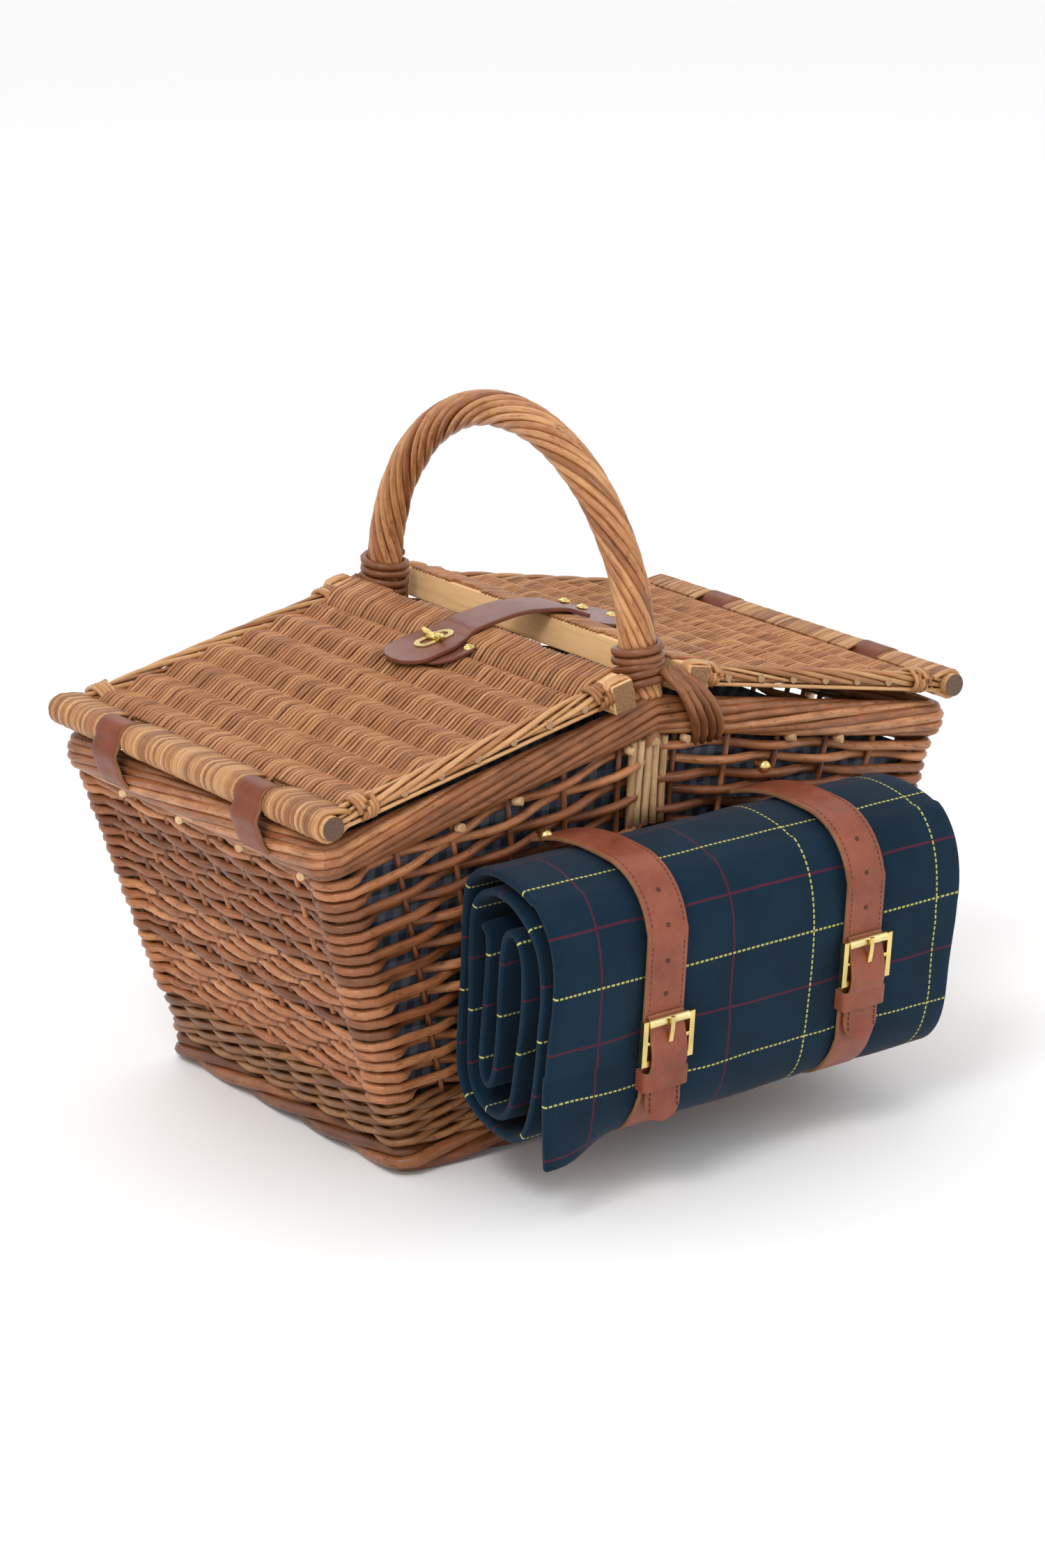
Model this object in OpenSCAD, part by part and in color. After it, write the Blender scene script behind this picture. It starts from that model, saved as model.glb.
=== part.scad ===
// Woven willow picnic basket with two hinged lids, a fixed bow handle,
// a leather closure strap and a folded blanket held in two buckled straps.
// X runs along the basket, Y from the blanket side to the back, Z up.
// The origin is on the ground under the middle of the basket.

/* [Basket] */
// Length outside at the low ends of the rim
rim_l = 470; // [440:5:500]
// Width outside at the low ends of the rim
rim_w = 278; // [260:2:300]
// Length outside at the ground
base_l = 340; // [320:5:370]
// Width outside at the ground
base_w = 245; // [230:5:260]
// Height at which the rim length and width are measured
rim_h = 211; // [200:1:220]
// Thickness of the woven walls
wall_t = 10; // [8:0.5:11]
// Height of the peak of the long sides
peak_h = 266.6; // [264:0.2:268]
// Depth of the border along the top edge
border_h = 24; // [20:1:28]

/* [Lids] */
// Distance of each lid's outer rod from the middle
rod_x = 232; // [230:1:236]
// Height of the outer rods
rod_z = 233; // [232:0.5:236]
// Diameter of the outer rods
rod_d = 14; // [12:0.5:15]
// Distance of each lid's inner bar from the middle
bar_x = 28.8; // [28:0.2:32]
// Rise of a lid for each millimetre towards the middle
lid_pitch = 0.2; // [0.19:0.005:0.21]
// Half the length of the woven lid panel across the basket
lid_half = 143; // [140:1:146]
// Thickness of the woven lid panel
lid_t = 8; // [7:0.5:9]
// Width of a leather hinge loop
loop_w = 26; // [22:1:30]

/* [Handle] */
// Radius of the bow at its centreline
bow_r = 128; // [124:1:132]
// Height of the centre of the bow
bow_z = 282; // [278:1:286]
// Diameter over the twisted strands
strand_d = 27; // [24:1:28]

/* [Straps] */
// Distance of each blanket strap from the middle
strap_x = 74; // [66:1:84]
// Width of a blanket strap
strap_w = 28; // [24:1:30]
// Thickness of the strap leather
strap_t = 2.8; // [2.4:0.1:3]
// Width of the closure strap
latch_w = 30; // [26:1:34]

/* [Blanket] */
// Length of the folded blanket along the basket
blanket_l = 306; // [290:2:320]
// Depth of the folded blanket out from the wall
blanket_d = 98; // [90:1:105]
// Height of the folded blanket
blanket_h = 166; // [156:1:170]

/* [Hidden] */
$fn = 48;

// Slopes of the end walls and the long walls, outwards for each millimetre up.
end_lean = (rim_l - base_l) / 2 / rim_h;
side_lean = (rim_w - base_w) / 2 / rim_h;
side_angle = atan(side_lean);
top_slope = lid_pitch;
far = 400;
big = 300;

// Lid measures: slope angle and distance from rod to bar along the lid.
lid_angle = atan(lid_pitch);
lid_len = (rod_x - bar_x) / cos(lid_angle);
bar_w = 14;
wrap_w = 19;
lash_w = 22;
stick_d = 5;
stick_step = 26;
loop_y = 75;
loop_t = 3;
rod_gap = 0.3;
lash_y = 134;
lash_len = 12;

// Heights of the bands of the basket's sides.
foot_h = 18;
post_z = 20;
waling_h = 48;
panel_z = 0;
panel_t = 10;
lining_gap = 4;
lining_t = 1.5;

// The handle: its core goes down through the border, the strands stop on it.
core_d = 11;
bow_y = 4;
foot_y = 138.5;
foot_z = 236;
strand_z = 268;

// Closure strap: the middle of its thickness, from the riveted tail to the tip, with three bend lines.
latch_t = 3;
latch_half = latch_t / 2;
bend_gap = 2.6;
bend_a = [16, 287.2];
bend_b = [-14, 287.4];
bend_c = [-26, 285.8];
lock_x = 55;
latch_tail = [[50, 278.5], [42, 281.6], [36, 284.3], [30, 285.6], [23, 286.8], bend_a];
latch_bridge = [bend_a, [8, 288.4], [-6, 288.5], bend_b];
latch_mid = [bend_b, [-20, 286.7], bend_c];
latch_flap = [bend_c, [-34, 284.6], [-38.4, 283.3], [-43, 280.33], [-70, 274.93], [-76, 273.4]];
patch_n = 6;
patch_u = [152, 196];
knob_low = 11.9;
knob_t = 2;

// Blanket straps, in a frame that leans with the wall: d out from the wall, h up along it.
blanket_back = 7;
blanket_foot = 38;
back_r = 22;
front_r = 36;
blanket_front = blanket_back + blanket_d;
blanket_top = blanket_foot + blanket_h;
strap_gap = 3.4;
strap_face = blanket_front + strap_gap + strap_t;
buckle_h = 112;
buckle_d = strap_face + 3.2;
pin_r = 1.5;
roller_h = buckle_h + 12;
keeper_h = 82;
keeper_w = 12;
keeper_t = 1.8;
blanket_x = 0;

// The right strap is drawn up further, so its buckle, tip and keeper sit higher.
function rise(s) = s > 0 ? 15 : 0;

// Solid that tapers like the basket, moved outwards by grow, between z0 and a peaked top that is low below the peak line.
module tapered(grow, z0, low) {
  z1 = peak_h - low;
  xe = (base_l / 2 + grow + end_lean * z1) / (1 + end_lean * top_slope);
  intersection() {
    rotate([90, 0, 0])
      linear_extrude(2 * big, center = true)
        polygon([
          [-base_l / 2 - grow - end_lean * z0, z0], [base_l / 2 + grow + end_lean * z0, z0],
          [xe, z1 - top_slope * xe], [0, z1], [-xe, z1 - top_slope * xe]
        ]);
    rotate([90, 0, 90])
      linear_extrude(2 * far, center = true)
        polygon([
          [-base_w / 2 - grow - side_lean * z0, z0], [base_w / 2 + grow + side_lean * z0, z0],
          [base_w / 2 + grow + side_lean * big, big], [-base_w / 2 - grow - side_lean * big, big]
        ]);
  }
}

// A block over the whole basket up to z.
module below(z) {
  translate([-far, -big, -big])
    cube([2 * far, 2 * big, big + z]);
}

// Posts in the four corners, which lean with both walls.
module post_places(d) {
  for (sx = [-1, 1], sy = [-1, 1])
    translate([sx * (base_l / 2 + end_lean * post_z - 9), sy * (base_w / 2 + side_lean * post_z - 9), post_z])
      rotate([-sy * side_angle, 0, 0])
        rotate([0, sx * atan(end_lean * cos(side_angle)), 0])
          cylinder(h = 168, d = d);
}

module base_panel() {
  color("peru")
    difference() {
      tapered(-wall_t - lining_gap, panel_z, 0);
      translate([-far, -big, panel_z + panel_t])
        cube([2 * far, 2 * big, 2 * big]);
    }
}

module foot_border() {
  color("sienna")
    difference() {
      intersection() {
        tapered(3, 0, 0);
        below(foot_h);
      }
      tapered(-wall_t - lining_gap, -1, 0);
    }
}

module waling_band() {
  color("saddlebrown")
    difference() {
      intersection() {
        tapered(0.6, foot_h, 0);
        below(waling_h);
      }
      tapered(-wall_t, 0, 0);
      post_places(12);
    }
}

module wall_weave() {
  color("chocolate")
    difference() {
      tapered(0, waling_h, border_h);
      tapered(-wall_t, 0, 0);
      post_places(12);
      handle_core(core_d);
    }
}

module corner_posts() {
  color("tan")
    post_places(12);
}

module rim_border() {
  color("sienna")
    difference() {
      tapered(3, waling_h, 0);
      tapered(-wall_t - 2, 0, -10);
      translate([0, 0, -border_h])
        tapered(big / 2, 0, 0);
      handle_core(core_d);
    }
}

module lining() {
  top_low = border_h + 4;
  color("slategray")
    difference() {
      tapered(-wall_t - lining_gap, panel_z + panel_t + 0.3, top_low);
      translate([0, 0, lining_t])
        tapered(-wall_t - lining_gap - lining_t, panel_z + panel_t + 0.3, top_low - 5);
      handle_core(core_d + 1);
    }
}

// The bow of the handle, a half ring on two legs that spread to the rim.
module handle_core(d) {
  translate([0, bow_y, bow_z])
    rotate([90, 0, 90])
      rotate_extrude(angle = 180)
        translate([bow_r, 0])
          circle(d = d);
  for (s = [-1, 1]) {
    top_y = bow_y + s * bow_r;
    dy = s * foot_y - top_y;
    dz = bow_z - foot_z;
    translate([0, top_y, bow_z])
      sphere(d = d + 0.8);
    translate([0, top_y, bow_z])
      rotate([180 + atan2(dy, dz), 0, 0])
        cylinder(h = sqrt(dy * dy + dz * dz), d = d);
  }
}

module handle_bow() {
  color("burlywood")
    handle_core(core_d);
}

// Keeps what stands above the border, where the strands are laid round the core.
module above(z) {
  translate([-far, -big, z])
    cube([2 * far, 2 * big, big]);
}

module handle_strands() {
  color("peru")
    difference() {
      intersection() {
        handle_core(strand_d);
        above(strand_z);
      }
      handle_core(core_d);
    }
}

// Binding of each foot: a collar round the strands.
module handle_bindings() {
  color("tan")
    difference() {
      intersection() {
        handle_core(strand_d + 5);
        above(strand_z + 2);
        below(strand_z + 26);
      }
      handle_core(strand_d);
    }
}

// Lid frame: x from the rod towards the bar, y across the basket, z out of the lid; side -1 is left.
module on_lid(side) {
  mirror([side > 0 ? 1 : 0, 0, 0])
    translate([-rod_x, 0, rod_z])
      rotate([0, -lid_angle, 0])
        children();
}

module along_y(len, d) {
  rotate([90, 0, 0])
    cylinder(h = len, d = d, center = true);
}

module lid_rod(side) {
  on_lid(side)
    along_y(2 * lid_half + 8, rod_d);
}

module lid_bar(side) {
  on_lid(side)
    translate([lid_len, 0, 0])
      cube([bar_w, 2 * lid_half + 6, bar_w], center = true);
}

module lid_sticks(side) {
  on_lid(side)
    for (i = [1:7])
      translate([i * stick_step, 0, 0])
        along_y(2 * lid_half, stick_d);
}

// Wrapping round the square bar, with its long edges cut by 2.
module bar_wrap(w, len) {
  h = w / 2;
  rotate([90, 0, 0])
    linear_extrude(len, center = true)
      polygon([
        [-h, 2 - h], [2 - h, -h], [h - 2, -h], [h, 2 - h], [h, h - 2], [h - 2, h], [2 - h, h], [-h, h - 2]
      ]);
}

// Woven panel with its wraps round rod and bar, notched where the hinge loops sit.
module lid_weave(side) {
  difference() {
    on_lid(side)
      union() {
        translate([0, -lid_half, -lid_t / 2])
          cube([lid_len, 2 * lid_half, lid_t]);
        along_y(2 * lid_half, wrap_w);
        translate([lid_len, 0, 0])
          bar_wrap(wrap_w, 2 * lid_half);
      }
    lid_rod(side);
    lid_bar(side);
    lid_sticks(side);
    on_lid(side)
      for (s = [-1, 1])
        translate([-20, s * loop_y - loop_w / 2 - 1, -20])
          cube([34, loop_w + 2, 40]);
  }
}

module lid_lashings(side) {
  on_lid(side)
    for (s = [-1, 1]) {
      translate([0, s * lash_y, 0])
        difference() {
          along_y(lash_len, lash_w);
          along_y(lash_len + 2, wrap_w);
          translate([0, -lash_len, -lid_t / 2])
            cube([lash_w, 2 * lash_len, lid_t]);
        }
      translate([lid_len, s * lash_y, 0])
        difference() {
          bar_wrap(lash_w, lash_len);
          bar_wrap(wrap_w, lash_len + 2);
          translate([-lash_w, -lash_len, -lid_t / 2])
            cube([lash_w, 2 * lash_len, lid_t]);
        }
    }
}

// Leather patch on the panel next to the bar.
module lid_patch(side, half) {
  on_lid(side)
    translate([patch_u[0], -half, lid_t / 2])
      cube([patch_u[1] - patch_u[0], 2 * half, patch_n - lid_t / 2]);
}

// Fixed leather loops round the bare parts of the rods, with tails down the outside of the border.
module hinge_loops() {
  ring_in = rod_d / 2 + rod_gap;
  ring_out = ring_in + loop_t;
  color("chocolate")
    for (side = [-1, 1], s = [-1, 1])
      difference() {
        union() {
          translate([side * rod_x, s * loop_y, rod_z])
            along_y(loop_w, 2 * ring_out);
          translate([side * rod_x, s * loop_y, rod_z])
            mirror([side > 0 ? 1 : 0, 0, 0])
              rotate([90, 0, 0])
                linear_extrude(loop_w, center = true)
                  polygon([[-ring_out, 0], [-ring_out, -16], [-ring_out + 7.2, -44], [-3, -44], [-3, -8]]);
        }
        translate([side * rod_x, s * loop_y, rod_z])
          along_y(loop_w + 2, 2 * ring_in);
        tapered(3, 0, 0);
      }
}

// Leaning frame of the front wall: x along it, y out from the wall, z up along it.
module on_front() {
  translate([0, -base_w / 2, 0])
    rotate([side_angle, 0, 0])
      mirror([0, 1, 0])
        children();
}

function arc(c, r, a0, a1, n = 8) = [for (i = [0:n]) c + r * [cos(a0 + (a1 - a0) * i / n), sin(a0 + (a1 - a0) * i / n)]];

// Outline of the folded blanket seen from its end, grown by g.
function roll(g) = concat(
  arc([blanket_front - front_r, blanket_foot + front_r], front_r + g, -90, 0),
  arc([blanket_front - front_r, blanket_top - front_r], front_r + g, 0, 90),
  arc([blanket_back + back_r, blanket_top - back_r], back_r + g, 90, 180),
  arc([blanket_back + back_r, blanket_foot + back_r], back_r + g, 180, 270)
);

// Extrudes a d-h outline along X about the middle x.
module along_x(x, len) {
  on_front()
    translate([x - len / 2, 0, 0])
      rotate([90, 0, 90])
        linear_extrude(len)
          children();
}

module blanket() {
  color("darkslategray")
    along_x(blanket_x, blanket_l)
      polygon(roll(0));
}

module blanket_straps() {
  color("sienna")
    for (s = [-1, 1]) {
      difference() {
        along_x(s * strap_x, strap_w)
          difference() {
            polygon(roll(strap_gap + strap_t));
            polygon(roll(strap_gap));
          }
        stud(s);
      }
      // lugs that fold round the middle bar of the buckle, one each side of the tongue
      for (t = [-1, 1])
        along_x(s * strap_x + t * 8, 9)
          difference() {
            translate([strap_face, buckle_h + rise(s) - 5])
              square([5.6, 10]);
            translate([buckle_d, buckle_h + rise(s)])
              circle(r = pin_r);
          }
    }
}

// Free end of each strap, which hangs over the lower run.
module strap_tips() {
  color("sienna")
    for (s = [-1, 1])
      on_front()
        translate([s * strap_x, strap_face, rise(s)])
          rotate([-90, 0, 0])
            mirror([0, 1, 0])
              linear_extrude(strap_t)
                union() {
                  translate([-12.5, 74])
                    square([25, 22]);
                  translate([0, 74])
                    circle(d = 25);
                }
}

// Ball stud on a shank that goes through the strap into the wall.
module stud(s) {
  on_front()
    translate([s > 0 ? strap_x + 5 : -strap_x - 10, 0, s > 0 ? 211 : 200]) {
      translate([0, 7.5, 0])
        sphere(d = 8.5);
      rotate([-90, 0, 0])
        cylinder(h = 7, d = 3);
    }
}

module strap_studs() {
  color("gold")
    for (s = [-1, 1])
      stud(s);
}

module buckle_frames() {
  bar_in = 15;
  color("gold")
    for (s = [-1, 1])
      on_front()
        translate([s * strap_x, buckle_d, buckle_h + rise(s)]) {
          for (t = [-1, 1])
            translate([t * (bar_in + 1.75), 0, 0.5])
              cube([3.5, 3.4, 28], center = true);
          translate([0, 0, -11.8])
            cube([2 * bar_in + 2, 3.4, 3.4], center = true);
          rotate([0, 90, 0])
            cylinder(h = 2 * bar_in + 1, r = pin_r, center = true);
          translate([0, 0, roller_h - buckle_h])
            rotate([0, 90, 0])
              cylinder(h = 2 * bar_in + 1, r = pin_r, center = true);
        }
}

module buckle_tongue(s) {
  color("khaki")
    along_x(s * strap_x, 3)
      difference() {
        union() {
          translate([buckle_d, buckle_h + rise(s)])
            circle(r = 3);
          translate([buckle_d, buckle_h + rise(s)])
            polygon([[2, -1.6], [2.2, 2], [3.3, 8], [3.4, 15.5], [5, 15.5], [4.9, 8], [3.9, 0]]);
        }
        translate([buckle_d, buckle_h + rise(s)])
          circle(r = pin_r + 0.06);
      }
}

module buckle_roller(s) {
  color("gold")
    on_front()
      translate([s * strap_x, buckle_d, roller_h + rise(s)])
        rotate([0, 90, 0])
          difference() {
            cylinder(h = 29, r = 2.8, center = true);
            cylinder(h = 31, r = pin_r + 0.08, center = true);
          }
}

module strap_keeper(s) {
  in_low = blanket_front + strap_gap - 0.3;
  in_high = strap_face + strap_t + 0.3;
  color("peru")
    on_front()
      translate([s * strap_x, 0, keeper_h + rise(s)])
        difference() {
          translate([-strap_w / 2 - 0.4 - keeper_t, in_low - keeper_t, 0])
            cube([strap_w + 0.8 + 2 * keeper_t, in_high - in_low + 2 * keeper_t, keeper_w]);
          translate([-strap_w / 2 - 0.4, in_low, -1])
            cube([strap_w + 0.8, in_high - in_low, keeper_w + 2]);
        }
}

// Ribbon of the closure strap along its middle line, seen from the front.
function turned(v) = [-v[1], v[0]] / norm(v);
function ribbon_side(p, t) = [
  for (i = [0:len(p) - 1])
    p[i] + t * turned(p[min(i + 1, len(p) - 1)] - p[max(i - 1, 0)])
];
function flipped(p) = [for (i = [len(p) - 1:-1:0]) p[i]];

module ribbon(p, w) {
  rotate([90, 0, 0])
    linear_extrude(w, center = true)
      polygon(concat(ribbon_side(p, latch_half), flipped(ribbon_side(p, -latch_half))));
}

// Round end of a strap piece at a bend line, and the space that the next piece's end needs.
module bend(at, r, w) {
  translate([at[0], 0, at[1]])
    along_y(w, 2 * r);
}

module latch_piece(p, starts, ends, w) {
  difference() {
    union() {
      ribbon(p, w);
      if (starts)
        bend(p[0], latch_half, w);
    }
    if (ends)
      bend(p[len(p) - 1], bend_gap, w + 2);
  }
}

module strap_tail() {
  color("brown")
    latch_piece(latch_tail, false, true, latch_w);
}

module strap_bridge() {
  color("brown")
    latch_piece(latch_bridge, true, true, latch_w);
}

module strap_mid() {
  color("brown")
    latch_piece(latch_mid, true, true, latch_w);
}

// Place of the turn lock on the left lid.
lock_u = (rod_x - lock_x) / cos(lid_angle);
module at_lock() {
  on_lid(-1)
    translate([lock_u, 0, 0])
      children();
}

// Long hole that the knob passes when it is turned in line.
module lock_slot(h) {
  linear_extrude(h)
    union() {
      square([14, 6], center = true);
      for (s = [-1, 1])
        translate([s * 7, 0])
          circle(d = 6);
    }
}

module closure_strap() {
  color("brown")
    difference() {
      latch_piece(latch_flap, true, false, latch_w);
      at_lock()
        lock_slot(20);
    }
}

module eyelet_plate() {
  color("gold")
    at_lock()
      translate([0, 0, 10.9])
        difference() {
          linear_extrude(0.7)
            union() {
              square([14, 13], center = true);
              for (s = [-1, 1])
                translate([s * 7, 0])
                  circle(d = 13);
            }
          translate([0, 0, -1])
            lock_slot(3);
        }
}

module lock_base() {
  color("gold")
    at_lock()
      difference() {
        union() {
          translate([0, 0, patch_n])
            linear_extrude(0.8)
              square([24, 14], center = true);
          translate([0, 0, patch_n])
            cylinder(h = knob_low - patch_n - 0.2, d = 5);
        }
        translate([0, 0, patch_n])
          cylinder(h = 20, d = 3);
      }
}

// Butterfly knob on a pin that turns in the lock base.
module turn_knob() {
  color("gold")
    at_lock() {
      translate([0, 0, patch_n + 0.2])
        cylinder(h = knob_low - patch_n, d = 2.9);
      translate([0, 0, knob_low])
        cylinder(h = knob_t, d = 6.5);
      for (s = [-1, 1])
        translate([-2, s * 6.5 - 4.5, knob_low])
          cube([4, 9, knob_t]);
    }
}

// Rivets through the strap's tail and the two patches.
module lid_rivets() {
  rivet_u = (rod_x - 42) / cos(lid_angle);
  color("gold")
    on_lid(1) {
      for (y = [-9, 9])
        translate([rivet_u, y, 12.8])
          cylinder(h = 1.5, d = 7);
      for (y = [-22, 22])
        translate([patch_u[0] + 8, y, patch_n])
          cylinder(h = 1.5, d = 7);
    }
}

base_panel();
foot_border();
waling_band();
wall_weave();
corner_posts();
rim_border();
lining();
handle_bow();
handle_strands();
handle_bindings();
hinge_loops();
blanket_straps();
strap_tips();
strap_studs();
buckle_frames();
buckle_tongue(-1);  // buckle_tongue_left
buckle_tongue(1);  // buckle_tongue_right
buckle_roller(-1);  // buckle_roller_left
buckle_roller(1);  // buckle_roller_right
strap_keeper(-1);  // strap_keeper_left
strap_keeper(1);  // strap_keeper_right
blanket();
color("tan") lid_rod(-1);  // left_lid_rod
color("tan") lid_bar(-1);  // left_lid_bar
color("tan") lid_sticks(-1);  // left_lid_sticks
color("burlywood") lid_weave(-1);  // left_lid_weave
color("wheat") lid_lashings(-1);  // left_lid_lashings
color("brown") lid_patch(-1, 28);  // left_lid_patch
lock_base();
turn_knob();
color("tan") lid_rod(1);  // right_lid_rod
color("tan") lid_bar(1);  // right_lid_bar
color("tan") lid_sticks(1);  // right_lid_sticks
color("burlywood") lid_weave(1);  // right_lid_weave
color("wheat") lid_lashings(1);  // right_lid_lashings
color("brown") lid_patch(1, 28);  // right_lid_patch
strap_tail();
lid_rivets();
strap_bridge();
strap_mid();
closure_strap();
eyelet_plate();
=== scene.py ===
import math
import random

import bmesh
import bpy
from mathutils import Matrix, Vector, noise


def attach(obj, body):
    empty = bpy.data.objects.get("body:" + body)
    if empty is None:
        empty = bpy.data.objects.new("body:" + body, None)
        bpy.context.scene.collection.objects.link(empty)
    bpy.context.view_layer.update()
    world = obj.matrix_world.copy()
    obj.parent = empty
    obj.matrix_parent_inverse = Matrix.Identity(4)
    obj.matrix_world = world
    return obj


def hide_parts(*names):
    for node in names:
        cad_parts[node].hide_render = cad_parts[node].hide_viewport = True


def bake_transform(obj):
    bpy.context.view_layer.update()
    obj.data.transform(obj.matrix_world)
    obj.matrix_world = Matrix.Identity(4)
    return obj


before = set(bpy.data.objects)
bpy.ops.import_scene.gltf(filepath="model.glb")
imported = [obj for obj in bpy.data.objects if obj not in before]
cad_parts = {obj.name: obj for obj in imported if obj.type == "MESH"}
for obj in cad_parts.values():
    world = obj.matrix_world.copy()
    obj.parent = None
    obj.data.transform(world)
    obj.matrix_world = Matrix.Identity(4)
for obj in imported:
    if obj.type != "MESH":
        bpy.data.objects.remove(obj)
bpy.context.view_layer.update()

stage = bpy.context.scene.collection
mm = 0.001

# ---------------------------------------------------------------- Camera
# A long lens looks down at the basket's near left corner, so that the left end, the lids
# and the blanket side all show.
eye = Vector((-1.4329, -1.9091, 0.9457))
aim = Vector((0.0093, 0.0, 0.1746))
camera_data = bpy.data.cameras.new("camera")
camera_data.lens = 93.64
camera_data.sensor_width = 36
camera = bpy.data.objects.new("camera", camera_data)
camera.location = eye
camera.rotation_euler = (aim - eye).to_track_quat("-Z", "Y").to_euler()
stage.objects.link(camera)
bpy.context.scene.camera = camera


# ---------------------------------------------------------------- Shading
# Every finish is a Principled surface. A Shade is one socket of its node tree, and
# arithmetic on it adds the Math nodes.
class Shade:
    def __init__(self, tree, socket=None):
        self.tree = tree
        self.socket = socket

    def node(self, kind, inputs=None, out=0, stops=None, **settings):
        made = self.tree.nodes.new(kind)
        for key, value in settings.items():
            setattr(made, key, value)
        if stops:
            band = made.color_ramp
            while len(band.elements) < len(stops):
                band.elements.new(0.5)
            for element, (at, colour) in zip(band.elements, stops):
                element.position = at
                element.color = (*colour, 1)
        for key, value in (inputs or {}).items():
            if isinstance(value, Shade):
                self.tree.links.new(value.socket, made.inputs[key])
            else:
                made.inputs[key].default_value = value
        return Shade(self.tree, made.outputs[out])

    def maths(self, operation, *values):
        return self.node("ShaderNodeMath", dict(enumerate(values)), operation=operation)

    def __add__(self, other):
        return self.maths("ADD", self, other)

    def __sub__(self, other):
        return self.maths("SUBTRACT", self, other)

    def __rsub__(self, other):
        return self.maths("SUBTRACT", other, self)

    def __mul__(self, other):
        return self.maths("MULTIPLY", self, other)

    __radd__ = __add__
    __rmul__ = __mul__

    def over(self, edge, soft):
        """1 where the value is above edge, 0 below it, with a soft step."""
        inputs = {"Value": self, "From Min": edge - soft, "From Max": edge + soft}
        return self.node("ShaderNodeMapRange", inputs)

    def noise(self, scale, detail=2, rough=0.5):
        inputs = {"Vector": self, "Scale": scale, "Detail": detail, "Roughness": rough}
        return self.node("ShaderNodeTexNoise", inputs)

    def ramp(self, *stops):
        return self.node("ShaderNodeValToRGB", {"Fac": self}, stops=stops)

    def tint(self, first, second):
        """Mixes two colours by this value."""
        inputs = {"Factor": self, 6: first, 7: second}
        return self.node("ShaderNodeMix", inputs, out=2, data_type="RGBA")

    def scaled(self, *sizes):
        return self.node("ShaderNodeVectorMath", {0: self, 1: sizes}, operation="MULTIPLY")

    def bump(self, strength, depth):
        return self.node("ShaderNodeBump", {"Height": self, "Strength": strength, "Distance": depth})


def surface(name):
    """A new material, its starting Shade and its Principled node."""
    material = bpy.data.materials.new(name)
    material.use_nodes = True
    tree = material.node_tree
    return material, Shade(tree), tree.nodes["Principled BSDF"]


def feed(shade, principled, **sockets):
    """Links or sets the Principled node's sockets, named with underscores for spaces."""
    for key, value in sockets.items():
        target = principled.inputs[key.replace("_", " ")]
        if isinstance(value, Shade):
            shade.tree.links.new(value.socket, target)
        else:
            target.default_value = value


def srgb(red, green, blue):
    """A colour given in 0 to 255 screen values, as the linear one that a shader takes."""
    return tuple(((v / 255 + 0.055) / 1.055) ** 2.4 for v in (red, green, blue))


# ---------------------------------------------------------------- Willow rods
# Peeled and boiled willow, laid as long tapering rods. A rod is a curve with a round
# section, and carries its own tone and the run of its grain.
def willow(name, dark, middle, light, rough=0.42, spots=0.5):
    material, start, skin = surface(name)
    grain = start.node("ShaderNodeAttribute", out=1, attribute_name="grain")
    tone = start.node("ShaderNodeAttribute", out=2, attribute_name="tone")
    streak = grain.scaled(1, 1, 0.25).noise(2.2, 3, 0.6)
    blotch = grain.scaled(0.3, 0.3, 0.6).noise(1.0, 2)
    bark = grain.scaled(0.7, 0.7, 1.2).noise(1.7, 1).over(0.66, 0.04)
    shade = tone * 0.5 + streak * 0.4 + blotch * 0.35 - 0.14
    colour = shade.ramp((0.22, dark), (0.5, middle), (0.78, light))
    colour = (bark * spots).tint(colour, (*dark, 1))
    feed(start, skin, Base_Color=colour, Roughness=streak * 0.25 + (rough - 0.1))
    feed(start, skin, Normal=(streak * 0.6 + blotch * 0.4).bump(0.35, 0.0006))
    feed(start, skin, Coat_Weight=0.22, Coat_Roughness=0.2, IOR=1.38)
    return material


def rods(name, runs, ring=8, closed=False):
    """One mesh of round rods. Each run is (points, radii, tone)."""
    curve = bpy.data.curves.new(name, "CURVE")
    curve.dimensions = "3D"
    curve.bevel_depth = 1.0
    curve.bevel_resolution = (ring - 4) // 2
    for points, radii, tone in runs:
        spline = curve.splines.new("POLY")
        spline.points.add(len(points) - 1)
        for point, at, radius in zip(spline.points, points, radii):
            point.co = (*at, 1)
            point.radius = radius
        spline.use_cyclic_u = closed
    holder = bpy.data.objects.new(name, curve)
    stage.objects.link(holder)
    bpy.context.view_layer.update()
    seen = holder.evaluated_get(bpy.context.evaluated_depsgraph_get())
    mesh = bpy.data.meshes.new_from_object(seen)
    bpy.data.objects.remove(holder)
    mesh.attributes.new("grain", "FLOAT_VECTOR", "POINT")
    mesh.attributes.new("tone", "FLOAT", "POINT")
    grain, tones = mesh.attributes["grain"], mesh.attributes["tone"]
    at = 0
    for points, radii, tone in runs:
        along = 0.0
        for i, point in enumerate(points):
            if i:
                along += (Vector(point) - Vector(points[i - 1])).length
            for k in range(ring):
                turn = 2 * math.pi * k / ring
                grain.data[at].vector = (
                    math.cos(turn) * radii[i] * 500 + tone * 61,
                    math.sin(turn) * radii[i] * 500 + tone * 37,
                    along * 100,
                )
                tones.data[at].value = tone
                at += 1
    assert at == len(mesh.vertices)
    body = bmesh.new()
    body.from_mesh(mesh)
    bmesh.ops.holes_fill(body, edges=[e for e in body.edges if e.is_boundary], sides=ring)
    bmesh.ops.recalc_face_normals(body, faces=body.faces)
    body.to_mesh(mesh)
    body.free()
    for face in mesh.polygons:
        face.use_smooth = len(face.vertices) == 4
    piece = bpy.data.objects.new(name, mesh)
    stage.objects.link(piece)
    return piece


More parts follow.
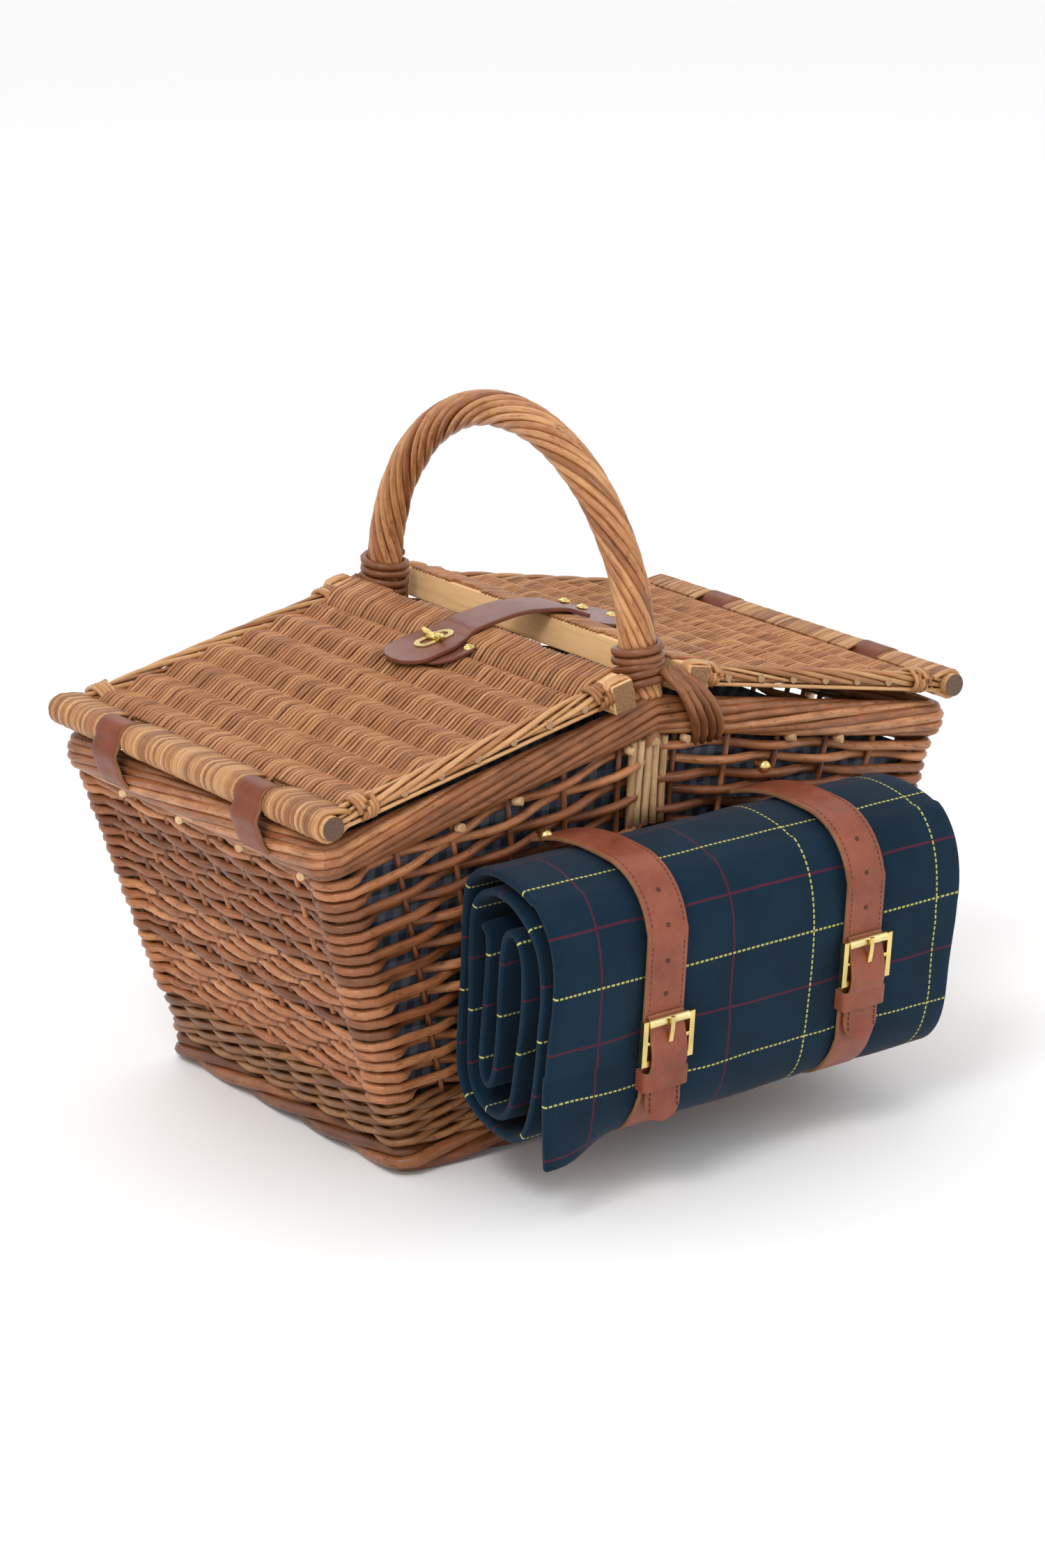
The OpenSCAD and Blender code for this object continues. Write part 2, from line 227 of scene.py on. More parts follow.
def dress(piece, material, body, slot, *stands_for):
    """Gives a finished piece its material, the body that it rides on and what it stands for."""
    piece.data.materials.clear()
    piece.data.materials.append(material)
    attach(piece, body)
    if stands_for:
        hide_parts(*stands_for)


# ---------------------------------------------------------------- Basket sides
# The basket tapers to its base and its long sides rise to a peak. Stakes stand in the
# walls, and the weavers pass in front of one stake and behind the next all round.
base_half = (0.170, 0.1225)
lean = (0.308, 0.0782)
peak = 0.2666
pitch = 0.2
border_deep = 24 * mm
wale_low, weave_low = 18 * mm, 48 * mm
side_gaps, end_gaps = 11, 16
corner_round = 7 * mm


def end_top():
    """Height where the top line meets the end walls."""
    x = (base_half[0] + lean[0] * peak) / (1 + lean[0] * pitch)
    return peak - pitch * x


def lap(height, inset, per_side=6, per_end=4):
    """One turn round the basket: (place, outward, wall, gaps from the wall's first corner, distance)."""
    out = []
    travelled = 0.0
    turn = 0.0
    for wall in range(4):
        long_wall = wall % 2 == 0
        gaps, fine = (side_gaps, per_side) if long_wall else (end_gaps, per_end)
        for i in range(gaps * fine + 1):
            out.append((wall, i / fine, 0.0))
        for c in range(1, 4):
            out.append((wall, gaps, c / 4))
    made = []
    for wall, k, corner in out:
        gaps = side_gaps if wall % 2 == 0 else end_gaps
        sign = 1 if wall in (0, 1) else -1
        guess = 0.0 if wall % 2 == 0 else base_half[0] + lean[0] * 0.12
        z = height(guess)
        for _ in range(3):
            half_x = base_half[0] + lean[0] * z - inset
            half_y = base_half[1] + lean[1] * z - inset
            flat_x, flat_y = half_x - corner_round, half_y - corner_round
            t = 2 * k / gaps - 1
            if wall % 2 == 0:
                x, y = sign * flat_x * t, -sign * half_y
                facing = Vector((0, -sign, 0))
            else:
                x, y = sign * half_x, sign * flat_y * t
                facing = Vector((sign, 0, 0))
            if corner:
                facing = Matrix.Rotation(corner * math.pi / 2, 3, "Z") @ facing
                cx = flat_x * (1 if wall in (0, 1) else -1)
                cy = flat_y * (1 if wall in (1, 2) else -1)
                x, y = cx + facing.x * corner_round, cy + facing.y * corner_round
            z = height(x)
        place = Vector((x, y, z))
        if made:
            travelled += (place - made[-1][0]).length
        made.append((place, facing, wall, k + corner, travelled))
    return made


def weave_height(v):
    """Height of a row v of the way up the weave: level at the base, peaked at the top."""
    top = end_top() - border_deep
    x_end = base_half[0] + lean[0] * top
    return lambda x: weave_low + v * (top - weave_low) + v**1.5 * pitch * max(0.0, x_end - abs(x))


weave_rows = 21
weaver_r = 2.85 * mm
stake_r = 2.1 * mm
wall_inset = 7.4 * mm
swing = 4.7 * mm


def wobble(x, y, z, size):
    return noise.noise(Vector((x, y, z))) * size


def passes(long_wall, t):
    """1 in front of a stake and -1 behind it: in turn on long walls, two by one on the ends."""
    if long_wall:
        return math.cos(math.pi * t)
    return min(1.0, 0.35 - 1.35 * math.cos(2 * math.pi * t / 3))


def weaver(row):
    """A row's rods, in front of some stakes and behind others, and always outside the corners."""
    begin = (0, 1, 0, 2, 1, 2)[row % 6]
    course = weave_height((row + 0.5) / weave_rows)
    points, radii = [], []
    for place, facing, wall, k, far in lap(course, wall_inset)[:-1]:
        gaps = side_gaps if wall % 2 == 0 else end_gaps
        long_wall = wall % 2 == 0
        at = k + row + (wall > 1) if long_wall else k + begin
        side = passes(long_wall, at)
        edge = min(k, gaps - k)
        if edge < 0:
            out = 1.15
        elif edge < 1:
            first = passes(long_wall, at - k + (1 if k < 1 else gaps - 1))
            flat = 0.08 if long_wall else 0.16
            reach = 0.55 if long_wall else 0.8
            ease = 0.5 - 0.5 * math.cos(math.pi * min(1.0, max(0.0, (edge - flat) / (reach - flat))))
            out = 1.15 + (first - 1.15) * ease
        else:
            out = side
        lay = math.sin(math.pi * at) * 0.9 if long_wall else math.sin(2 * math.pi * at / 3) * 0.6
        slant = lay * mm if edge > 1 else 0.0
        up = slant + wobble(far * 9, row * 3.1, wall, 1.3 * mm)
        deep = swing if long_wall or edge < 0.4 else 0.36 * swing
        points.append(
            place + facing * (out * deep + wobble(far * 12, row, 7, 1.0 * mm)) + Vector((0, 0, up))
        )
        plump = 1 + 0.22 * noise.noise(Vector((far * 3.3, row * 5.7, 2)))
        radii.append(weaver_r * plump * (1.12 if edge <= 0 else 1))
    return points, radii


def stake_runs(inset, radius, low, high_drop):
    """Upright stakes at every gap mark of the four walls."""
    runs = []
    for wall in range(4):
        gaps = side_gaps if wall % 2 == 0 else end_gaps
        for k in range(1, gaps):
            points = []
            for step in range(9):
                v = step / 8
                course = lambda x: low + v * (peak - pitch * abs(x) - high_drop - low)
                spot = [p for p in lap(course, inset, 1, 1) if p[2] == wall and p[3] == k][0][0]
                points.append(
                    spot + Vector((wobble(k, v * 2, wall, 1.5 * mm), wobble(k, v * 2, wall + 9, 1 * mm), 0))
                )
            tone = rng.uniform(0.2, 0.7)
            runs.append((points, [radius * (1 - 0.15 * i / 8) for i in range(9)], tone))
    return runs


rng = random.Random(5)
wall_willow = willow("wall_willow", srgb(82, 44, 22), srgb(146, 88, 52), srgb(206, 142, 94))
runs = [(*weaver(row), rng.uniform(0.2, 0.8)) for row in range(weave_rows)]
wall_weavers = rods("wall_weavers", runs, closed=True)
dress(wall_weavers, wall_willow, "basket", "willow_wall", "wall_weave")

wall_stakes = rods("wall_stakes", stake_runs(wall_inset, stake_r, 12 * mm, 16 * mm), ring=6)
dress(wall_stakes, wall_willow, "basket", "willow_wall")


# ---------------------------------------------------------------- Waling and borders
# Ropes of several rods laid round each other: the waling locks the stakes at the base,
# the foot border stands on the ground, and the rim border closes the top.
def rope(course, inset, strands, width, tall, lay, thick, tone):
    """Strands that turn round a flattened core once in every lay metres."""
    frames = lap(course, inset, 8, 5)
    whole = frames[-1][4]
    turns = max(1, round(whole / lay))
    runs = []
    for m in range(strands):
        points, radii = [], []
        for place, facing, wall, k, far in frames[:-1]:
            turn = 2 * math.pi * (turns * far / whole + m / strands)
            out, up = math.cos(turn) * width, math.sin(turn) * tall
            shake = wobble(far * 11, m * 4.3, tall * 900, 0.8 * mm)
            points.append(place + facing * (out + shake) + Vector((0, 0, up + shake)))
            radii.append(thick * (1 + wobble(far * 4, m * 2.9, 3, 0.25)))
        runs.append((points, radii, tone + rng.uniform(-0.25, 0.25)))
    return runs


wale_willow = willow("wale_willow", srgb(72, 42, 22), srgb(130, 84, 48), srgb(178, 128, 82))
runs = []
wale_rows = 4
for row in range(wale_rows):
    z = wale_low + (row + 0.5) * (weave_low - wale_low) / wale_rows
    runs += rope(lambda x: z, 6.4 * mm, 3, 4.2 * mm, 2.6 * mm, 0.085, 2.5 * mm, 0.45)
waling = rods("waling", runs, ring=6, closed=True)
dress(waling, wale_willow, "basket", "willow_waling", "waling_band")

foot_willow = willow("foot_willow", srgb(70, 38, 20), srgb(124, 72, 40), srgb(174, 112, 70))
runs = rope(lambda x: 9.2 * mm, 3.6 * mm, 3, 3.6 * mm, 4.4 * mm, 0.16, 4.1 * mm, 0.45)
foot = rods("foot_border_rods", runs, closed=True)
dress(foot, foot_willow, "basket", "willow_foot", "foot_border")

rim_willow = willow("rim_willow", srgb(82, 46, 24), srgb(152, 94, 56), srgb(222, 164, 114))
rim_middle = border_deep / 2
runs = rope(
    lambda x: peak - pitch * abs(x) - rim_middle, 5.5 * mm, 10, 5.4 * mm, 8.8 * mm, 0.42, 2.95 * mm, 0.5
)
rim = rods("rim_border_rods", runs, closed=True)
dress(rim, rim_willow, "basket", "willow_rim", "rim_border")


# ---------------------------------------------------------------- Corner posts and cut ends
# A thick post stands in each corner behind the weave. The stakes' cut ends show pale under
# the rim border, and a bundle of them holds the handle in the middle of each long wall.
post_willow = willow("post_willow", srgb(150, 104, 66), srgb(186, 140, 94), srgb(222, 184, 138))
runs = []
for sx in (-1, 1):
    for sy in (-1, 1):
        points = []
        for step in range(7):
            z = (20 + step * 28) * mm
            x = base_half[0] + lean[0] * z - 11.5 * mm
            y = base_half[1] + lean[1] * z - 11.5 * mm
            points.append(Vector((sx * x, sy * y, z)))
        runs.append((points, [4.6 * mm] * 7, 0.5))
posts = rods("corner_stakes", runs)
dress(posts, post_willow, "basket", "willow_post", "corner_posts")

cut_willow = willow("cut_willow", srgb(150, 112, 76), srgb(196, 156, 112), srgb(226, 194, 152))
runs = []
for wall in range(4):
    gaps = side_gaps if wall % 2 == 0 else end_gaps
    for k in range(1, gaps):
        under = lambda x: peak - pitch * abs(x) - border_deep - 1.5 * mm
        spots = {p[3]: p for p in lap(under, 5 * mm, 1, 1) if p[2] == wall}
        place, facing = spots[k][:2]
        side = facing.cross(Vector((0, 0, 1)))
        trimmed = k % 4 != 3 if gaps == end_gaps else k % 3 == 1
        if trimmed:
            continue
        skew = side * rng.uniform(-5, -2) * mm
        drop = Vector((0, 0, rng.uniform(-2, 1) * mm))
        tip = place + facing * 7.2 * mm + skew + drop
        runs.append(
            ([place - side * 4 * mm, (place + tip) / 2, tip], [2.6 * mm] * 3, rng.uniform(0.4, 0.9))
        )
for sy in (-1, 1):
    for x in (-13, -7.5, -2, 4, 10):
        points = []
        for z in (186, 200, 214, 228, 240):
            y = base_half[1] + lean[1] * z * mm - 4.2 * mm
            points.append(Vector((x * mm + wobble(x, z * 0.02, sy, 1.2 * mm), sy * y, z * mm)))
        runs.append((points, [2.5 * mm] * 5, rng.uniform(0.35, 0.8)))
cut_ends = rods("cut_ends", runs)
dress(cut_ends, cut_willow, "basket", "willow_post")


# ---------------------------------------------------------------- Handle
# A thick core is bent over the basket and covered with rods that twist round it from foot to
# foot. Each foot is bound with a few turns of thin rod, and loose tails tuck into the border.
bow_radius, bow_y, bow_z = 128, 4, 282
foot_y, foot_z = 138.5, 236
strand_foot = 262


def bow(steps, low=foot_z):
    """The handle's middle line from the blanket side to the back: (place, direction, distance)."""
    points = []
    near = Vector((0, bow_y - bow_radius, bow_z))
    back = Vector((0, bow_y + bow_radius, bow_z))
    near_foot, back_foot = Vector((0, -foot_y, foot_z)), Vector((0, foot_y, foot_z))
    share = (low - foot_z) / (bow_z - foot_z)
    for i in range(10):
        points.append(near_foot.lerp(near, share + (1 - share) * i / 10))
    for i in range(steps + 1):
        turn = math.pi * i / steps
        points.append(Vector((0, bow_y - bow_radius * math.cos(turn), bow_z + bow_radius * math.sin(turn))))
    for i in range(1, 11):
        points.append(back.lerp(back_foot, (1 - share) * i / 10))
    for _ in range(2):
        inner = [(a + 2 * b + c) / 4 for a, b, c in zip(points, points[1:], points[2:])]
        points = [points[0]] + inner + [points[-1]]
    made, far = [], 0.0
    for i, at in enumerate(points):
        if i:
            far += (at - points[i - 1]).length
        heading = (points[min(i + 1, len(points) - 1)] - points[max(i - 1, 0)]).normalized()
        made.append((at * mm, heading, far * mm))
    return made


handle_willow = willow("handle_willow", srgb(98, 54, 28), srgb(158, 100, 58), srgb(214, 162, 110), 0.38)
across = Vector((1, 0, 0))
bow_line = bow(72, strand_foot)
bow_length = bow_line[-1][2]
handle_turns, handle_count, handle_rod_r, handle_ring = 2.8, 12, 2.3, 9.0
runs = []
for m in range(handle_count):
    points, radii = [], []
    for at, heading, far in bow_line:
        spin = m / handle_count - handle_turns * far / bow_length
        turn = 2 * math.pi * spin + wobble(far * 6, m * 3, 1, 0.1)
        ring = handle_ring * mm + wobble(far * 7, m * 5, 2, 0.6 * mm)
        out = across * math.cos(turn) + heading.cross(across) * math.sin(turn)
        points.append(at + out * ring)
        radii.append(handle_rod_r * mm * (1 + wobble(far * 5, m * 2, 3, 0.2)))
    runs.append((points, radii, rng.uniform(0.15, 0.85)))
handle_rods = rods("handle_rods", runs, ring=10)
dress(handle_rods, handle_willow, "basket", "willow_handle", "handle_strands")

tie_willow = willow("tie_willow", srgb(80, 44, 24), srgb(126, 74, 42), srgb(176, 118, 74))
runs = []
fine_bow = bow(160, strand_foot + 6)
for flip in (False, True):
    line = fine_bow[::-1] if flip else fine_bow
    points, radii = [], []
    turns, rise = 5.0, 26 * mm
    for step in range(int(turns * 16) + 1):
        far = rise * step / (turns * 16)
        spot = min(line, key=lambda p: abs(abs(p[2] - line[0][2]) - far))
        at, heading = spot[0], spot[1]
        at = at + heading * ((far - abs(spot[2] - line[0][2])) * (-1 if flip else 1))
        turn = 2 * math.pi * step / 16
        out = across * math.cos(turn) + heading.cross(across) * math.sin(turn)
        points.append(at + out * (13.4 * mm + wobble(step * 0.3, 1, 4, 0.5 * mm)))
        radii.append(2.6 * mm)
    runs.append((points, radii, 0.5))
    side = 1 if flip else -1
    for i in range(4):
        x = side * -1 * (9 + 5 * i)
        y = lambda z: side * (base_half[1] / mm + lean[1] * z + 3.4)
        points = [
            Vector((x * 0.62, side * 140, 281)),
            Vector((x * 0.95 - side * 3, side * 150, 270)),
            Vector((x * 1.15 - side * 8, y(260) + side * 3.5, 259)),
            Vector((x * 1.2 - side * 14, y(246) + side * 2.5, 247)),
            Vector((x * 1.2 - side * 19, y(238) - side * 2, 238)),
            Vector((x * 1.2 - side * 22, y(232) - side * 8, 231)),
        ]
        points = [q * mm for q in points]
        runs.append((points, [2.7 * mm] * 6, rng.uniform(0.4, 0.8)))
bindings = rods("handle_ties", runs)
dress(bindings, tie_willow, "basket", "willow_lashing", "handle_bindings")


# ---------------------------------------------------------------- Lids
# Each lid is a flat mat of thin peeled rods woven over seven sticks, between a round outer
# rod and a square inner bar. The rods' ends lap round the outer rod and over the bar.
rod_x, rod_z, bar_x = 232, 233, 28.8
slope = math.atan(0.2)
lid_len = (rod_x - bar_x) / math.cos(slope)
stick_step, lid_half = 26, 143
strand_count, strand_r, strand_lift, strand_slant = 150, 1.14, 4.3, 1.7
loop_y, loop_wide = 75, 26


def on_lid(side, u, y, n):
    """A place on a lid in metres: u from its rod to its bar, n out of its top, in millimetres."""
    x = -rod_x + u * math.cos(slope) - n * math.sin(slope)
    z = rod_z + u * math.sin(slope) + n * math.cos(slope)
    return Vector((-side * x, y, z)) * mm


lid_willow = willow("lid_willow", srgb(118, 72, 40), srgb(174, 118, 74), srgb(214, 164, 114), 0.45, 0.25)
wrap_willow = willow("wrap_willow", srgb(112, 68, 36), srgb(166, 112, 66), srgb(208, 160, 108), 0.34, 0.2)


def notch(y, margin=1.5):
    return abs(abs(y) - loop_y) < loop_wide / 2 + margin


for name, side in (("left_lid", -1), ("right_lid", 1)):
    runs = []
    for m in range(strand_count):
        y0 = -130.5 + 261 * m / (strand_count - 1) + rng.uniform(-0.35, 0.35)
        parity = m % 2
        start = 17 if notch(y0) else 9
        points, radii = [], []
        u = start
        while u < lid_len + 9:
            phase = math.pi * (u / stick_step + parity)
            over = -math.cos(phase)
            lift = strand_lift * math.asin(0.96 * over) / math.asin(0.96)
            if u > 7 * stick_step:
                ease = min(1.0, (u - 7 * stick_step) / 14)
                lift = lift * (1 - ease) + 8.2 * ease * (1 if parity else -0.6)
                if not parity and u > lid_len - 9:
                    break
            if u < stick_step * 0.6 and not notch(y0):
                lift *= 1.15
            if u > lid_len + 6:
                lift *= 0.93
            y = y0 - strand_slant * math.sin(phase) + wobble(u * 0.03, m * 1.7, side, 0.6)
            points.append(on_lid(side, u, y, lift + wobble(u * 0.05, m, 5, 0.35)))
            radii.append((strand_r + wobble(u * 0.04, m * 3.3, side * 4, 0.2)) * mm)
            u += 3.7
        runs.append((points, radii, rng.uniform(0.3, 0.75)))
    weave = rods(name + "_strands", runs, ring=6)
    dress(weave, lid_willow, name, "willow_lid", name + "_weave")

    runs = []
    y = -lid_half + 1.4
    while y < lid_half:
        if not notch(y):
            points = [on_lid(side, 15, y - 0.8, 3.4), on_lid(side, 9, y - 0.5, 6.0)]
            for i in range(11):
                turn = math.radians(62 + 236 * i / 10)
                points.append(on_lid(side, 8.3 * math.cos(turn), y, 8.3 * math.sin(turn)))
            points += [on_lid(side, 9, y + 0.5, -6.0), on_lid(side, 15, y + 0.8, -3.4)]
            thick = rng.uniform(1.25, 1.6) * mm
            runs.append((points, [thick] * len(points), rng.uniform(0.2, 1)))
        y += rng.uniform(2.5, 2.9)
    wraps = rods(name + "_wraps", runs, ring=6)
    dress(wraps, wrap_willow, name, "willow_lid")

    runs = []
    for end in (-1, 1):
        for i in range(6):
            base = 131.5 + 2.2 * i
            points, radii = [], []
            for step in range(27):
                u = 7 + (lid_len - 9) * step / 26
                twist = 2 * math.pi * (u / 150 + i / 6)
                y = end * (136.2 + 5.6 * math.cos(twist))
                n = 1.0 + 3.4 * math.sin(twist)
                points.append(on_lid(side, u, y, n))
                radii.append((1.75 if i else 1.1) * mm)
            runs.append((points, radii, rng.uniform(0.3, 1)))
        runs.append(
            ([on_lid(side, u, end * 141.5, -4.4) for u in (4, 60, 120, 180, lid_len)], [1.3 * mm] * 5, 1.0)
        )
        for at in (20, 190):
            for i in range(4):
                ring = []
                for step in range(13):
                    turn = 2 * math.pi * step / 12 + 0.4 * i
                    y = end * (136.4 + 9.6 * math.cos(turn))
                    n = 0.4 + 6.4 * math.sin(turn)
                    ring.append(on_lid(side, at + 2.9 * i + 0.24 * step, y, n))
                runs.append((ring, [1.5 * mm] * 13, rng.uniform(0.3, 0.9)))
        for turn_at in range(5):
            ring = []
            for step in range(13):
                turn = 2 * math.pi * step / 12
                u = 8.7 * math.copysign(abs(math.cos(turn)) ** 0.5, math.cos(turn))
                n = 8.7 * math.copysign(abs(math.sin(turn)) ** 0.5, math.sin(turn))
                ring.append(on_lid(side, lid_len + u, end * (139 + 1.0 * turn_at + 0.08 * step), n))
            if turn_at % 2 == 0:
                runs.append((ring, [1.3 * mm] * 13, 0.9))
    edges = rods(name + "_edges", runs, ring=6)
    dress(edges, wrap_willow, name, "willow_lashing", name + "_lashings")


# ---------------------------------------------------------------- Lid rods, bars and sticks
# The outer rod is round with its end grain bare. The inner bar is planed square, and its
# face shows in the gap between the lids.
def timber(name, light, dark, end, ends_at):
    material, start, skin = surface(name)
    place = start.node("ShaderNodeTexCoord", out=3)
    fibres = place.scaled(260, 14, 260).noise(1.0, 4, 0.65)
    tone = place.scaled(30, 4, 30).noise(1.0, 2)
    colour = (fibres * 0.6 + tone * 0.5 - 0.05).ramp((0.3, dark), (0.55, light), (0.8, light))
    y = place.node("ShaderNodeSeparateXYZ", {"Vector": place}, out=1)
    bare = y.maths("ABSOLUTE", y).over(ends_at, 0.0002)
    pores = place.scaled(900, 0.1, 900).noise(1.0, 3).ramp((0.35, tuple(v * 0.5 for v in end)), (0.65, end))
    feed(start, skin, Base_Color=bare.tint(colour, pores), Roughness=fibres * 0.2 + 0.45)
    feed(start, skin, Normal=fibres.bump(0.3, 0.0005))
    return material


rod_wood = timber("rod_wood", srgb(206, 160, 108), srgb(150, 104, 66), srgb(108, 78, 58), 0.1465)
bar_wood = timber("bar_wood", srgb(240, 196, 142), srgb(206, 156, 102), srgb(150, 108, 62), 0.1462)
stick_wood = timber("stick_wood", srgb(150, 98, 60), srgb(104, 64, 40), srgb(190, 150, 106), 0.1425)
for name, side in (("left_lid", -1), ("right_lid", 1)):
    for node, material in (("_rod", rod_wood), ("_sticks", stick_wood)):
        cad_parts[name + node].data.materials.clear()
        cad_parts[name + node].data.materials.append(material)
    block = bmesh.new()
    bmesh.ops.create_cube(block, size=1)
    bmesh.ops.scale(block, vec=(15 * mm, 293 * mm, 17.6 * mm), verts=block.verts)
    bmesh.ops.bevel(
        block, geom=block.edges[:], offset=0.9 * mm, segments=2, profile=0.5, affect="EDGES", material=-1
    )
    lengthwise = [e for e in block.edges if abs(e.verts[0].co.y - e.verts[1].co.y) > 0.2]
    bmesh.ops.subdivide_edges(block, edges=lengthwise, cuts=24)
    tilt = Matrix.Rotation(side * slope, 4, "Y")
    bmesh.ops.transform(
        block, matrix=Matrix.Translation(on_lid(side, lid_len + 1, 0, -2.0)) @ tilt, verts=block.verts
    )
    for v in block.verts:
        v.co += Vector((1, 0, 1)) * wobble(v.co.y * 18, side, 0, 0.5 * mm)
    mesh = bpy.data.meshes.new(name + "_plank")
    block.to_mesh(mesh)
    block.free()
    bar = bpy.data.objects.new(name + "_plank", mesh)
    stage.objects.link(bar)
    dress(bar, bar_wood, name, "willow_stick", name + "_bar")


# ---------------------------------------------------------------- Leather
# Straps are cut from dyed hide, with a paler raw edge, and stitched along both sides.
def leather(name, colour, dark, gloss=0.42):
    material, start, skin = surface(name)
    place = start.node("ShaderNodeTexCoord", out=3)
    pores = place.node("ShaderNodeTexVoronoi", {"Vector": place, "Scale": 1500})
    clouds = place.noise(38, 4, 0.6)
    worn = place.noise(160, 3, 0.6)
    tone = (clouds * 0.75 + worn * 0.25).ramp((0.3, dark), (0.62, colour))
    feed(start, skin, Base_Color=tone, Roughness=worn * 0.3 + (gloss - 0.15))
    feed(start, skin, Normal=(pores * 0.5 + worn * 0.5).bump(0.25, 0.0003))
    feed(start, skin, Coat_Weight=0.12, Coat_Roughness=0.25, IOR=1.34)
    return material


def resample(path, step):
    """Points a step apart on a smooth curve through the given ones."""
    path = [Vector(p) for p in path]
    ends = [2 * path[0] - path[1]] + path + [2 * path[-1] - path[-2]]
    dense = []
    for a, b, c, d in zip(ends, ends[1:], ends[2:], ends[3:]):
        for i in range(12):
            t = i / 12
            first, second, third = c - a, 2 * a - 5 * b + 4 * c - d, 3 * b - a - 3 * c + d
            dense.append(0.5 * (2 * b + first * t + second * t**2 + third * t**3))
    dense.append(path[-1])
    whole = sum((q - p).length for p, q in zip(dense, dense[1:]))
    count = max(2, round(whole / step))
    made, far, i = [dense[0]], 0.0, 0
    for k in range(1, count):
        goal = whole * k / count
        while far + (dense[i + 1] - dense[i]).length < goal:
            far += (dense[i + 1] - dense[i]).length
            i += 1
        made.append(dense[i].lerp(dense[i + 1], (goal - far) / (dense[i + 1] - dense[i]).length))
    return made + [dense[-1]]


def strip(name, path, wide, thick, sideways, round_start=False, round_end=False, closed=False, cells=6):
    """A leather band whose middle follows path. Its width runs along sideways."""
    band = bmesh.new()
    line = [band.verts.new(p - sideways * wide / 2) for p in path]
    edges = [band.edges.new(pair) for pair in zip(line, line[1:])]
    if closed:
        edges.append(band.edges.new((line[-1], line[0])))
    row = edges
    for _ in range(cells):
        grown = bmesh.ops.extrude_edge_only(band, edges=row)["geom"]
        verts = [g for g in grown if isinstance(g, bmesh.types.BMVert)]
        row = [g for g in grown if isinstance(g, bmesh.types.BMEdge)]
        bmesh.ops.translate(band, verts=verts, vec=sideways * wide / cells)
    centre = sum((p.dot(sideways) for p in path), 0.0) / len(path)
    for is_round, tip, inner in ((round_start, path[0], path[1]), (round_end, path[-1], path[-2])):
        if is_round:
            back = (inner - tip).normalized()
            for v in band.verts:
                reach = (v.co - tip).dot(back)
                across_at = (v.co.dot(sideways) - centre) / (wide / 2)
                if reach < wide / 2:
                    allowed = math.sqrt(max(0.0, 1 - (1 - max(reach, 0) / (wide / 2)) ** 2))
                    shift = across_at * (allowed - 1) * wide / 2
                    v.co += sideways * shift
    bmesh.ops.remove_doubles(band, verts=band.verts, dist=0.02 * mm)
    bmesh.ops.recalc_face_normals(band, faces=band.faces)
    mesh = bpy.data.meshes.new(name)
    band.to_mesh(mesh)
    band.free()
    for face in mesh.polygons:
        face.use_smooth = True
    piece = bpy.data.objects.new(name, mesh)
    stage.objects.link(piece)
    wall = piece.modifiers.new("thickness", "SOLIDIFY")
    wall.thickness = thick
    wall.offset = 0
    wall.use_even_offset = True
    wall.material_offset_rim = 1
    edge = piece.modifiers.new("edge", "BEVEL")
    edge.width = 0.5 * mm
    edge.segments = 2
    edge.limit_method = "ANGLE"
    edge.angle_limit = math.radians(50)
    return piece


def shape_now(piece):
    """Applies a piece's modifiers."""
    bpy.context.view_layer.update()
    seen = piece.evaluated_get(bpy.context.evaluated_depsgraph_get())
    old = piece.data
    piece.data = bpy.data.meshes.new_from_object(seen)
    piece.modifiers.clear()
    bpy.data.meshes.remove(old)


def hide(piece, face, edge, body, slot, *stands_for):
    """Gives a leather piece its face and raw edge."""
    dress(piece, face, body, slot, *stands_for)
    piece.data.materials.append(edge)


tan_leather = leather("tan_leather", srgb(126, 58, 26), srgb(98, 44, 20))
strap_leather = leather("strap_leather", srgb(142, 76, 54), srgb(114, 56, 38))
latch_leather = leather("latch_leather", srgb(128, 76, 62), srgb(98, 54, 42), 0.36)
raw_edge = leather("raw_edge", srgb(150, 108, 74), srgb(120, 82, 54), 0.7)
# The thread leather also colours the dark discs that stand for the straps' holes, as painted shade.
thread = leather("thread", srgb(84, 46, 36), srgb(64, 34, 28), 0.7)
along_y = Vector((0, 1, 0))
along_x = Vector((1, 0, 0))


def stitches(name, lines, body, slot, gap=3.4, long=2.3, thick=0.32):
    """Rows of thread: each stitch is a short rod that dips at both ends. lines are (points, ups)."""
    runs = []
    for points, ups in lines:
        far, due = 0.0, 1.0 * mm
        for i in range(1, len(points)):
            a, b = points[i - 1], points[i]
            span = (b - a).length
            while due < far + span:
                t = (due - far) / span
                at, heading = a.lerp(b, t), (b - a).normalized()
                up = ups[i]
                ends = (
                    at - heading * long / 2 * mm - up * 0.25 * mm, at,
                    at + heading * long / 2 * mm - up * 0.25 * mm
                )
                runs.append((ends, [thick * mm] * 3, 0.5))
                due += gap * mm
            far += span
    piece = rods(name, runs, ring=4)
    dress(piece, thread, body, slot)
    return piece


def ups_of(path, sideways):
    out = []
    for i in range(len(path)):
        heading = (path[min(i + 1, len(path) - 1)] - path[max(i - 1, 0)]).normalized()
        out.append(heading.cross(sideways).normalized())
    return out


